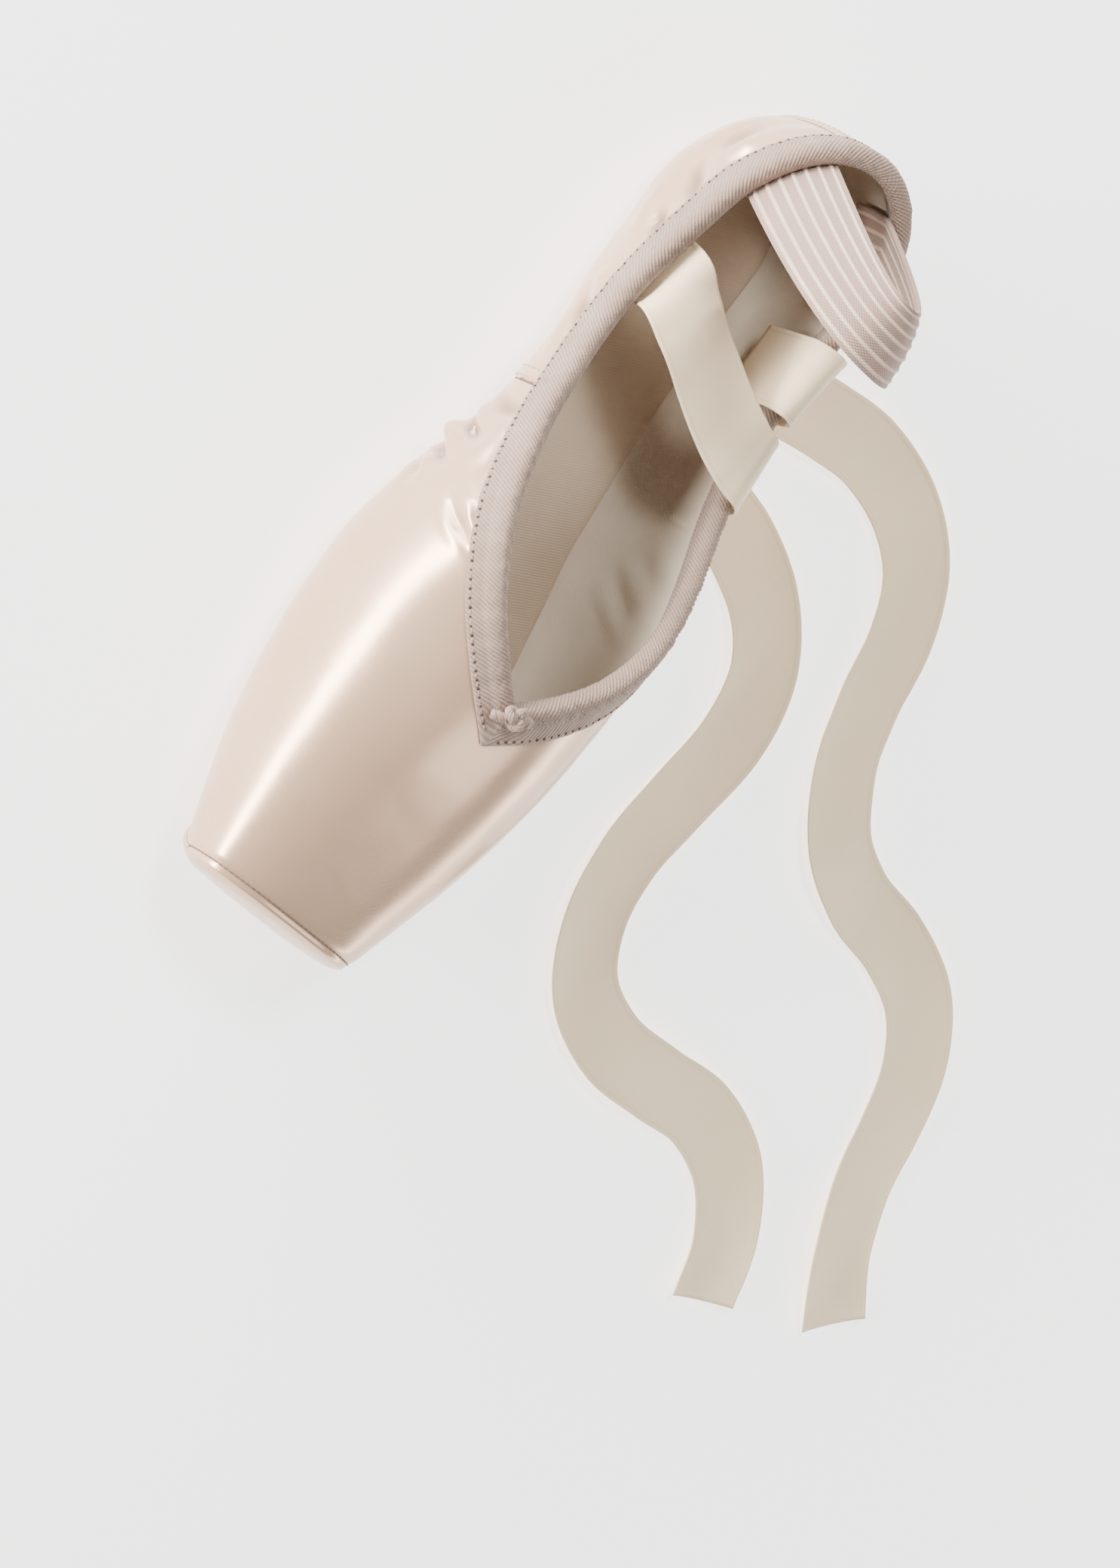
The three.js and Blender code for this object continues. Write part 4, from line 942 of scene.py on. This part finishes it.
def makeBinding():
    count = 56
    sections = np.stack([tapeSection(wall) for wall in wallAt(edgeU)])
    closed = np.concatenate([sections, sections[:, :1]], 1)
    rings, uvs = [], []
    for k, section in enumerate(closed):
        lengths = along(section)
        dense = np.linspace(0, lengths[-1], count + 1)
        rings.append(sampled(dense[:-1], lengths, section))
        uvs.append(dense)
    rings, uvs = np.array(rings), np.array(uvs)
    v = uvs[:, :-1]
    rolled = smoothStep(3.9, 3.0, rings[..., 0])
    outward = np.stack([np.gradient(rings[..., 1], axis=1), -np.gradient(rings[..., 0], axis=1)], -1)
    outward /= np.maximum(np.linalg.norm(outward, axis=-1, keepdims=True), 1e-6)
    phase = 2 * math.pi * (edgeS[:, None] + v * tapeSizes["ribSlant"]) / tapeSizes["ribPitch"]
    gathered = 1 + tapeSizes["gathers"] * np.exp(-edgeS[:, None] / tapeSizes["gatherReach"])
    rib = tapeSizes["ribRise"] * gathered * (np.abs(np.sin(phase / 2)) * 2 - 1) * rolled
    outer = (rings[..., 1] > -wallAt(edgeU)[:, None] / 2 - 0.3) | (rings[..., 0] < 0.2)
    rings = rings + outward * (rib * outer)[..., None]
    sway = 0.14 * waves(edgeS[:, None] * 0.9, 2.0) * (rings[..., 1] > 0.8)
    points = np.stack([besideCollar(rings[:, j, 0], rings[:, j, 1] + sway[:, j]) for j in range(count)], 1)
    uv = np.stack(np.broadcast_arrays(edgeS[:, None], uvs), -1)
    left = mirrored(points)[::-1][1:]
    leftUv = (uv * (-1, 1) + (2 * edgeS[-1], 0))[::-1][1:]
    meshPiece("collar_tape", [(np.concatenate([points, left]), np.concatenate([uv, leftUv]), True, False, 0)], [tape],
              ["collar_binding"], weld=2e-6)


def stitchRow(name, points, normals, look, materials, holes=0.0):
    # Short threads laid along a line, sunk at both ends, with dark flat marks between them where asked: painted shade
    # of the needle holes
    s = along(points)
    count = max(int(s[-1] / look["pitch"]), 1)
    starts = (np.arange(count) + 0.5) * s[-1] / count
    jitter = np.sin(np.arange(count) * 12.9898) * 0.06 * look["pitch"]
    centres, ups = sampled(starts + jitter, s, points), unit(sampled(starts, s, normals))
    ahead = unit(sampled(np.minimum(starts + 0.3, s[-1]), s, points) - sampled(starts - 0.3, s, points))
    across = np.cross(ups, ahead)
    lengthwise = np.array([-0.5, -0.42, -0.2, 0.2, 0.42, 0.5])
    radii = np.array([0.3, 0.8, 1.0, 1.0, 0.8, 0.3]) * look["radius"]
    turns = np.linspace(0, 2 * math.pi, 7)[:-1]
    vertices, faces, marks = [], [], []

    def capsule(centre, axis, up, wide, length, radii, material, flatten=1.0):
        start = len(vertices)
        for share, radius in zip(lengthwise, radii):
            sink = look["radius"] * (0.25 - 1.1 * (2 * share) ** 4)
            for turn in turns:
                vertices.append(centre + axis * share * length + wide * radius * math.cos(turn)
                                + up * (radius * flatten * math.sin(turn) + sink))
        for ring in range(5):
            for k in range(6):
                a, b = start + ring * 6 + k, start + ring * 6 + (k + 1) % 6
                faces.append((a, a + 6, b + 6, b))
                marks.append(material)
        faces.extend([tuple(range(start + 5, start - 1, -1)), tuple(range(start + 30, start + 36))])
        marks.extend([material, material])

    for k in range(count):
        capsule(centres[k], ahead[k], ups[k], across[k], look["length"], radii, 0)
        if holes:
            # A dark flattened mark between stitches: painted shade in the needle hole
            dark = centres[k] + ahead[k] * look["pitch"] / 2
            capsule(dark, ahead[k], ups[k], across[k], holes * 1.5, radii / look["radius"] * holes * 0.7, 1, 0.35)
    addPiece(name, np.array(vertices), faces, marks, materials)


collarStitch = {"pitch": 2.3, "length": 1.3, "radius": 0.18, "drop": 7.3, "hole": 0.56}


def bothWays(points, normals):
    return np.concatenate([points, mirrored(points)[::-1][1:]]), np.concatenate([normals, mirrored(normals)[::-1][1:]])


def makeCollarStitches():
    drop = np.full(len(edgeS), collarStitch["drop"])
    low, high = besideCollar(drop, drop * 0 + 1.3), besideCollar(drop, drop * 0 + 2.3)
    keep = slice(3, None)
    points, normals = bothWays(low[keep], (high - low)[keep])
    stitchRow("collar_stitches", points, normals, collarStitch, [satinThread, needleHoleShade],
              collarStitch["hole"])


makeBinding()
makeCollarStitches()
print("collar bound")

seamStitch = {"pitch": 2.6, "length": 1.9, "radius": 0.2, "rows": (0.9, 4.0), "top": 0.06, "foot": 0.74}
# The dark row along each side seam is painted shadow of the seam's fold
seamFoldShadow = {"pitch": 1.7, "length": 1.9, "radius": 0.27, "out": 0.3}


def onSatin(u, share, side, out):
    # Points on the draped satin, for one station and share each
    share = np.asarray(share)[:, None]
    base, normal = onLast(u, share), normalsOn(u, share)
    height = satinRelief(np.asarray(u), share, base, side)[..., None]
    points = (base + normal * (height + out))[:, 0]
    return (points, normal[:, 0]) if side < 0 else (mirrored(points), mirrored(normal[:, 0]))


def makeSeamStitches():
    for side, name in ((-1, "right"), (1, "left")):
        for row, behind in enumerate(seamStitch["rows"]):
            u, share = seamLine(90, behind)
            keep = slice(int(90 * seamStitch["top"]) + 4, int(90 * seamStitch["foot"]))
            points, normals = onSatin(u[keep], share[keep], side, 0.05)
            stitchRow(f"seam_stitches_{name}_{row + 1}", points, normals, seamStitch, [satinThread])
        # A dark row along the seam, over the satin: painted shadow of the seam's fold
        u, share = seamLine(90, -0.1)
        keep = slice(9, 84)
        points, normals = onSatin(u[keep], share[keep], side, seamFoldShadow["out"])
        stitchRow(f"seam_fold_shadow_{name}", points, normals, seamFoldShadow, [seamShadow])


makeSeamStitches()
print("side seams sewn")

stripLook = {"half": 10.5, "out": 0.95, "gap": 0.1, "stitchInset": 2.0, "top": 8.8,
             "pitch": 2.5, "length": 1.8, "radius": 0.2}


def heelStations(y, share):
    # The station near the back seam that is y off the middle, for each row's share
    y, share = np.broadcast_arrays(y, share)
    u = np.zeros(y.shape)
    for _ in range(5):
        _, r, _, lengths = outlines(u.ravel())
        s = share.ravel() * lengths[:, -1]
        half = np.array([np.interp(s[k], lengths[k], r[k]) for k in range(len(s))]).reshape(u.shape)
        u = shoe["heelRound"] * np.arcsin(np.clip(y / np.maximum(half, 1), 0, 0.98)) / quarterTurn
    return u


def surfaceAt(u, share):
    # Points and normals on the last for a grid of stations and shares
    shape = u.shape
    flatU, flatShare = u.ravel(), share.ravel()[:, None]
    points = np.concatenate([onLast(flatU[k:k + 4000], flatShare[k:k + 4000]) for k in range(0, len(flatU), 4000)])
    normals = np.concatenate([normalsOn(flatU[k:k + 4000], flatShare[k:k + 4000]) for k in range(0, len(flatU), 4000)])
    return points.reshape(*shape, 3), normals.reshape(*shape, 3)


def makeHeelStrip():
    look = stripLook
    rows = 60
    zero = np.zeros(1)
    total = totalAt(zero)[0]
    low = openingShare(zero)[0] + (shoe["lastingMargin"] + 0.8) / total
    high = collarShare(zero)[0] - look["top"] / total
    share = np.linspace(low, high, rows)[:, None]
    y = np.concatenate([[0], np.linspace(0.5, look["half"] - 0.4, 12), [look["half"] - 0.1, look["half"]]])[None]
    u = heelStations(y, share)
    share = np.broadcast_to(share, u.shape)
    points, normals = surfaceAt(u, share)
    inset = np.minimum(look["half"] - y, (np.arange(rows) * 0.7)[:, None])
    inset = np.minimum(inset, (np.arange(rows)[::-1] * 0.7)[:, None])
    out = look["gap"] + (look["out"] - look["gap"]) * smoothStep(0, 0.5, inset)
    out = out - 0.16 * np.exp(-((look["half"] - look["stitchInset"] - y) / 0.5) ** 2) * np.ones_like(out)
    solid = points + normals * out[..., None]
    uv = np.stack(np.broadcast_arrays(share * total, y), -1)
    grids = [(solid, uv, False, True, 0), (mirrored(solid), uv * (1, -1), False, False, 0)]
    meshPiece("heel_strip_satin", grids, [satin], ["heel_strip"])
    k = np.argmin(np.abs(y[0] - (look["half"] - look["stitchInset"])))
    for side, name in ((-1, "right"), (1, "left")):
        line, way = solid[3:-2, k] + normals[3:-2, k] * 0.12, normals[3:-2, k]
        if side > 0:
            line, way = mirrored(line), mirrored(way)
        stitchRow("heel_stitches_" + name, line, way, look, [satinThread])


makeHeelStrip()
print("heel strip sewn")

tipLook = {"seamSet": 2.5, "panelRear": 20.0, "out": 0.95, "gap": 0.1, "pitch": 1.7, "length": 1.55, "radius": 0.15}


def makeToeTip():
    look = tipLook
    tip = shoe["length"] - look["seamSet"]
    rear = shoe["length"] - sole["tipInset"] - sole["tipRound"] / 3
    corner = halfWidthAt(tip) - 1
    panelHalf = smoothCurve([(rear, look["panelRear"]), (lerp(rear, tip, 0.4), lerp(look["panelRear"], corner, 0.14)),
                             (lerp(rear, tip, 0.75), lerp(look["panelRear"], corner, 0.55)), (tip + 1, corner)])
    grids = []
    u = run(farEnd, (252, 8), (tip, 12))
    share = np.linspace(0, 1, 120)[None] + 0 * u[:, None]
    points, normals = onLast(u, share), normalsOn(u, share)
    edgeShare = panelShare(np.array([tip]), panelHalf)[0]
    closing = smoothStep(0, 0.9, (u - tip))[:, None]
    joined = smoothStep(edgeShare + 0.02, edgeShare - 0.01, share)
    out = look["gap"] + (look["out"] - look["gap"]) * np.maximum(closing, joined)
    cap = points + normals * out[..., None]
    uv = np.stack([share * 120, u[:, None] + 0 * share], -1)
    grids += [(cap, uv, False, True, 0), (mirrored(cap), uv * (-1, 1), False, False, 0)]
    u = run(tip, (rear, 40))
    edge = panelShare(u, panelHalf)
    across = np.concatenate([np.linspace(0, 0.96, 34), [0.98, 1.0]])
    share = across[None] * edge[:, None]
    points, normals = onLast(u, share), normalsOn(u, share)
    inset = (1 - across)[None] * edge[:, None] * totalAt(u)[:, None]
    out = look["gap"] + (look["out"] - look["gap"]) * smoothStep(0, 0.6, inset)
    apron = points + normals * out[..., None]
    uv = np.stack([share * 120, u[:, None] + 0 * share], -1)
    grids += [(apron, uv, False, True, 0), (mirrored(apron), uv * (-1, 1), False, False, 0)]
    meshPiece("toe_tip_satin", grids, [satin], ["toe_tip"])
    # A dark row along the tip's seam: painted shadow in the seam's groove
    share = np.linspace(edgeShare, 1, 160)[None]
    at = np.array([tip - 0.25])
    line, way = onLast(at, share)[0] + normalsOn(at, share)[0] * 0.1, normalsOn(at, share)[0]
    line, way = bothWays(line, way)
    stitchRow("tip_seam_shadow", line, way, look, [seamShadow])


def panelShare(u, panelHalf):
    # The share on the lower corner where the outline is as wide as the panel
    _, r, _, lengths = outlines(u)
    corner = len(cornerAngles) + 1
    return np.array([np.interp(panelHalf(u[k]), r[k, :corner], lengths[k, :corner]) / lengths[k, -1]
                     for k in range(len(u))])


makeToeTip()
print("toe tip pieced")


def outsoleRows(steps):
    tipX = shoe["length"] - sole["tipInset"] - sole["tipRound"]
    a = np.linspace(0, quarterTurn, steps // 4)
    tip = tipX + sole["tipRound"] * np.cos(a)
    front = np.stack([tip, soleBodyAt(tip) * np.sin(a)], 1)
    x = np.linspace(tipX, shoe["heelRound"], steps)[1:]
    body = np.stack([x, soleBodyAt(x)], 1)
    a = np.linspace(quarterTurn, 2 * quarterTurn, steps // 4)[1:]
    back = np.stack([shoe["heelRound"] + (shoe["heelRound"] - sole["heelInset"]) * np.cos(a),
                     soleBodyAt(shoe["heelRound"]) * np.sin(a)], 1)
    rows = np.concatenate([front, body, back])
    rows[[0, -1], 1] = 0.02
    return rows


def rimGap(points, outline):
    # How far points in the plane lie from the outline
    start, span = outline[:-1], np.diff(outline, axis=0)
    t = ((points[:, None] - start) * span).sum(-1) / np.maximum((span * span).sum(-1), 1e-9)
    return np.linalg.norm(points[:, None] - start - np.clip(t, 0, 1)[..., None] * span, axis=-1).min(1)


def makeOutsole():
    rows = outsoleRows(120)
    across = np.sin(np.linspace(-quarterTurn, quarterTurn, 66))
    x = rows[:, :1] + 0 * across
    y = rows[:, 1:] * across
    outline = np.concatenate([rows, (rows * (1, -1))[::-1]])
    uv = np.stack([x, y], -1)
    gap = rimGap(uv.reshape(-1, 2), outline).reshape(x.shape)
    gap[:, [0, -1]] = 0
    bevel = sole["rimRound"]
    fall = bevel - np.sqrt(np.maximum(bevel ** 2 - np.clip(bevel - gap, 0, bevel) ** 2, 0))
    channel = 0.55 * np.exp(-((gap - sole["stitchInset"]) / 0.8) ** 2)
    under = np.stack([x, y, soleLine(x) + fall + channel], -1)
    upper = np.stack([x, y, soleLine(x) + sole["thickness"] + 0 * y], -1)
    grids = [(under, uv, False, False, 0), (upper[:, ::3], uv[:, ::3], False, True, 0)] + slabSides(under, upper, uv)
    piece = meshPiece("outsole_leather", grids, [soleLeather], ["outsole"])
    mesh = piece.data
    loops = np.zeros(len(mesh.loops), "i")
    mesh.loops.foreach_get("vertex_index", loops)
    spots = np.zeros(len(mesh.vertices) * 3, "f")
    mesh.vertices.foreach_get("co", spots)
    spots = spots.reshape(-1, 3) * 1000 - (shiftX, 0, 0)
    gap = rimGap(spots[:, :2], outline)
    rim = mesh.uv_layers.new(name="rim")
    rim.data.foreach_set("uv", np.stack([gap[loops], spots[loops, 2]], 1).astype("f").ravel())
    mesh.uv_layers.active = mesh.uv_layers["cloth"]


def makeSoleStitches():
    rows = outsoleRows(120)
    ring = np.concatenate([rows, (rows * (1, -1))[::-1], rows[:1]])
    s = along(ring)
    at = np.linspace(0, s[-1], 700)
    ring = sampled(at, s, ring)
    tangent = unit(np.gradient(ring, axis=0))
    inward = np.stack([tangent[:, 1], -tangent[:, 0]], 1)
    middle = ring - [[120, 0]]
    inward *= np.where((inward * middle).sum(1, keepdims=True) > 0, -1, 1)
    line = ring + inward * sole["stitchInset"]
    line = smoothed(line[:-1], 15, "wrap")
    points = np.concatenate([line, soleLine(line[:, :1]) + 0.54], 1)
    normals = np.tile([0.0, 0.0, -1.0], (len(points), 1))
    look = {"pitch": sole["stitchPitch"], "length": sole["stitchLength"], "radius": sole["threadRadius"]}
    stitchRow("sole_stitches", points, normals, look, [soleThread, needleHoleShade], holes=0.75)


makeOutsole()
makeSoleStitches()
print("outsole stitched")

elasticSizes = {
    "width": 28.0, "thickness": 1.3, "heelInset": 15.0, "tuck": 20.0, "rise": 58.0, "lean": 28.0, "bow": 0.8,
    "ruffle": 0.25, "ribs": 7, "ribRise": 0.42, "columns": 98,
}


def makeElastic():
    size = elasticSizes
    heelFirst = edgeS[-1] - edgeS[::-1]
    w = np.linspace(0, size["width"], size["columns"] + 1)
    u = np.interp(size["heelInset"] + w, heelFirst, edgeU[::-1])
    edge = onLast(u, collarShare(u)[:, None])[:, 0]
    lean = math.radians(size["lean"])
    clearance = tapeSizes["gap"] + tapeSizes["thickness"] + 0.5 + shoe["seamGap"]

    def inside(drop, extra):
        near = edge - (0, 0, drop)
        at, share = locate(near)
        points, normals = onLast(at, share[:, None])[:, 0], normalsOn(at, share[:, None])[:, 0]
        return points - normals * (wallAt(u) + clearance + extra)[:, None]

    def path(extra):
        rows = [inside(drop, extra) for drop in np.linspace(size["tuck"], 0, 22)]
        foot = rows[-1]
        for angle in np.linspace(0, math.pi, 110)[1:-1]:
            up = (size["rise"] - extra) * math.sin(angle) ** size["bow"]
            y = -foot[:, 1] * -math.copysign(abs(math.cos(angle)) ** size["bow"], math.cos(angle))
            z = foot[:, 2] + up * math.cos(lean) + (w - size["width"] / 2) * size["ruffle"] * math.sin(angle)
            rows.append(np.stack([foot[:, 0] + up * math.sin(lean), y, z], 1))
        return np.array(rows + [mirrored(row) for row in rows[21::-1]])

    outer, inner = path(0), path(size["thickness"])
    through = unit(outer - inner)
    place = w / size["width"] * size["ribs"]
    rib = np.exp(-(((place % 1) - 0.5) / 0.13) ** 2) * size["ribRise"]
    rib = rib + 0.3 * np.exp(-(np.minimum(w, size["width"] - w) / 0.7) ** 2)
    outer = outer + through * (rib - 0.25)[None, :, None]
    inner = inner - through * (rib * 0.8 - 0.25)[None, :, None]
    s = along(outer[:, len(w) // 2])
    flat = np.stack(np.broadcast_arrays(s[:, None], w[None]), -1)
    ring = np.concatenate([outer, inner[:, ::-1]], 1)
    uv = np.concatenate([flat, flat[:, ::-1], flat[:, :1]], 1)
    grids = [(ring, uv, True, False, 0)] + endCaps(outer, inner, flat, (False, True))
    meshPiece("ankle_elastic", grids, [elasticKnit], ["elastic_band"])


makeElastic()
print("elastic sewn in")

insoleSizes = {"thickness": 2.0, "edgeGap": 5.0, "toeGap": 6.0, "tipRound": 12.0, "edgeRound": 0.8}


def makeInsole():
    size = insoleSizes
    tipX = shoe["length"] - shoe["boxWall"] - size["toeGap"] - size["tipRound"]

    def flatHalf(x):
        return halfWidthAt(x) * soleShareAt(x) - size["edgeGap"]

    a = np.linspace(0, quarterTurn, 20)
    x = tipX + size["tipRound"] * np.cos(a)
    front = np.stack([x, flatHalf(x) * np.sin(a) ** 0.6], 1)
    x = np.linspace(tipX, shoe["heelRound"], 70)[1:]
    u = np.linspace(shoe["heelRound"], 0, 24)[1:]
    at = stationsAt(u)
    back = np.stack([shoe["heelRound"] + (at["flat"] - size["edgeGap"]) * np.cos(at["angle"]),
                     (at["flat"] - size["edgeGap"]) * np.sin(at["angle"])], 1)
    rows = np.concatenate([front, np.stack([x, flatHalf(x)], 1), back])
    rows[[0, -1], 1] = 0.02
    across = np.sin(np.linspace(-quarterTurn, quarterTurn, 34))
    x, y = rows[:, :1] + 0 * across, rows[:, 1:] * across
    bed = undersideAt(x) + wallAt(x) + shoe["seamGap"]
    fall = size["edgeRound"] * smoothStep(1.4, 0, rows[:, 1:] * (1 - np.abs(across)))
    dish = 0.35 * np.sin(x / 21 + 0.6) * np.cos(y / 26) * 0.5
    top = np.stack([x, y, bed + size["thickness"] - fall - 0.3 + dish * (1 - np.abs(across) ** 4)], -1)
    under = np.stack([x, y, bed], -1)
    uv = np.stack([x, y], -1)
    grids = [(top, uv, False, True, 0), (under[:, ::3], uv[:, ::3], False, False, 0)] + slabSides(under, top, uv)
    meshPiece("insole_board", grids, [board], ["insole"])


makeInsole()
print("insole laid in")

knotLook = {"size": 0.88, "cord": 1.02, "tail": 5.4, "lift": 3.3, "flatten": 1.25}


def makeTube(path, radii, sides, flatten):
    # A soft tape rolled to a cord: rings along the path, wider than high, with the twill's ripple
    tangent = unit(np.gradient(path, axis=0))
    side = unit(np.cross(tangent, (0.2, 0.1, 1.0)))
    up = unit(np.cross(side, tangent))
    turns = np.linspace(0, 2 * math.pi, sides + 1)[:-1]
    s = along(path)[:, None]
    ripple = 1 + 0.07 * np.sin(turns * 2 + s * 4.2)
    return path[:, None] + (side[:, None] * np.cos(turns)[None, :, None] * flatten
                            + up[:, None] * np.sin(turns)[None, :, None]) * (radii[:, None] * ripple)[..., None]


def makeKnot():
    look = knotLook
    t = np.linspace(0.35, 2 * math.pi - 0.35, 190)
    loop = np.stack([np.sin(t) + 1.7 * np.sin(2 * t), 1.15 * (np.cos(t) - 1.7 * np.cos(2 * t)), -np.sin(3 * t)], 1)
    centre = edgePoints[0] + edgeNormals[0] * look["lift"] + (-0.5, 0, 0.55)
    loop = centre + loop * look["size"]
    tails = []
    for start, way in ((loop[0], (0.35, -1.0)), (loop[-1], (0.1, 1.0))):
        s = np.linspace(0, 1, 34)[1:, None]
        ahead = unit(np.array([[way[0], way[1], 0.0]]))
        tails.append(start + ahead * look["tail"] * s + (0, 0, 1) * (0.9 * np.sin(2.4 * s) - 2.1 * s))
    path = np.concatenate([tails[0][::-1], loop, tails[1]])
    s = along(path)
    path = sampled(np.linspace(0, s[-1], 300), s, path)
    path[4:-4] = smoothed(path, 9)[4:-4]
    s = along(path)
    fromEnd = np.minimum(s, s[-1] - s)
    radii = look["cord"] * (0.72 + 0.28 * smoothStep(0, 0.8, fromEnd)) * (1 + 0.12 * smoothStep(3.5, 1, fromEnd))
    ring = makeTube(path, radii, 14, look["flatten"])
    flat = np.stack(np.broadcast_arrays(s[:, None], np.linspace(0, 6, 15)[None]), -1)
    grids = [(ring, flat, True, False, 0)]
    for k, flip in ((0, False), (-1, True)):
        hub = np.repeat(path[k][None], 14, 0)
        grids.append((np.stack([ring[k], hub]), flat[[k, k]], True, flip, 0))
    piece = meshPiece("drawstring_bow", grids, [knotTape], ["drawstring_knot"])
    toMetres(path[0]).tolist()
    toMetres(path[::3]).tolist()


makeKnot()
print("drawstring knotted")

light = {
    "sky": (0.96, 0.97, 1.0), "skyStrength": 0.22, "floorGlow": 1.9,
    "lamps": [  # name, place and aim in metres, size, watts, colour
        ("sideSoftbox", (0.12, -1.2, 0.24), (0.02, 0.0, 0.03), (1.7, 0.26), 76, (1.0, 0.98, 0.95)),
        ("overhead", (-0.9, -0.6, 1.6), (0.0, 0.02, 0.02), (0.5, 0.5), 28, (1.0, 0.985, 0.97)),
        ("topSoftbox", (0.0, 0.85, 1.25), (0.02, 0.0, 0.03), (1.4, 0.9), 14, (1.0, 0.97, 0.96)),
        ("heelSoftbox", (-0.95, -0.85, 0.24), (-0.08, 0.0, 0.03), (0.8, 0.26), 17, (1.0, 0.99, 0.965)),
        ("rimLight", (0.2, 1.4, 0.2), (0.03, 0.0, 0.02), (1.6, 0.24), 13, (1.0, 0.97, 0.93)),
    ],
}


def makeStage():
    mesh = bpy.data.meshes.new("floor")
    mesh.from_pydata([(-4, -4, 0), (4, -4, 0), (4, 4, 0), (-4, 4, 0)], [], [(0, 1, 2, 3)])
    mesh.materials.append(newMaterial("paleFloor", Roughness=0.75, Base_Color=(0.86, 0.86, 0.87, 1),
                                      Emission_Color=(1.0, 0.985, 0.965, 1), Emission_Strength=light["floorGlow"])[0])
    floor = bpy.data.objects.new("floor", mesh)
    bpy.context.collection.objects.link(floor)
    world = bpy.data.worlds.new("studio")
    world.use_nodes = True
    world.node_tree.nodes["Background"].inputs[0].default_value = (*light["sky"], 1)
    world.node_tree.nodes["Background"].inputs[1].default_value = light["skyStrength"]
    bpy.context.scene.world = world
    for name, place, aim, size, watts, colour in light["lamps"]:
        lamp = bpy.data.lights.new(name, "AREA")
        lamp.shape = "RECTANGLE"
        lamp.size, lamp.size_y = size
        lamp.energy, lamp.color = watts, colour
        item = bpy.data.objects.new(name, lamp)
        item.location = place
        item.rotation_euler = (Vector(aim) - Vector(place)).to_track_quat("-Z", "Y").to_euler()
        bpy.context.collection.objects.link(item)


makeStage()
print("studio lit")
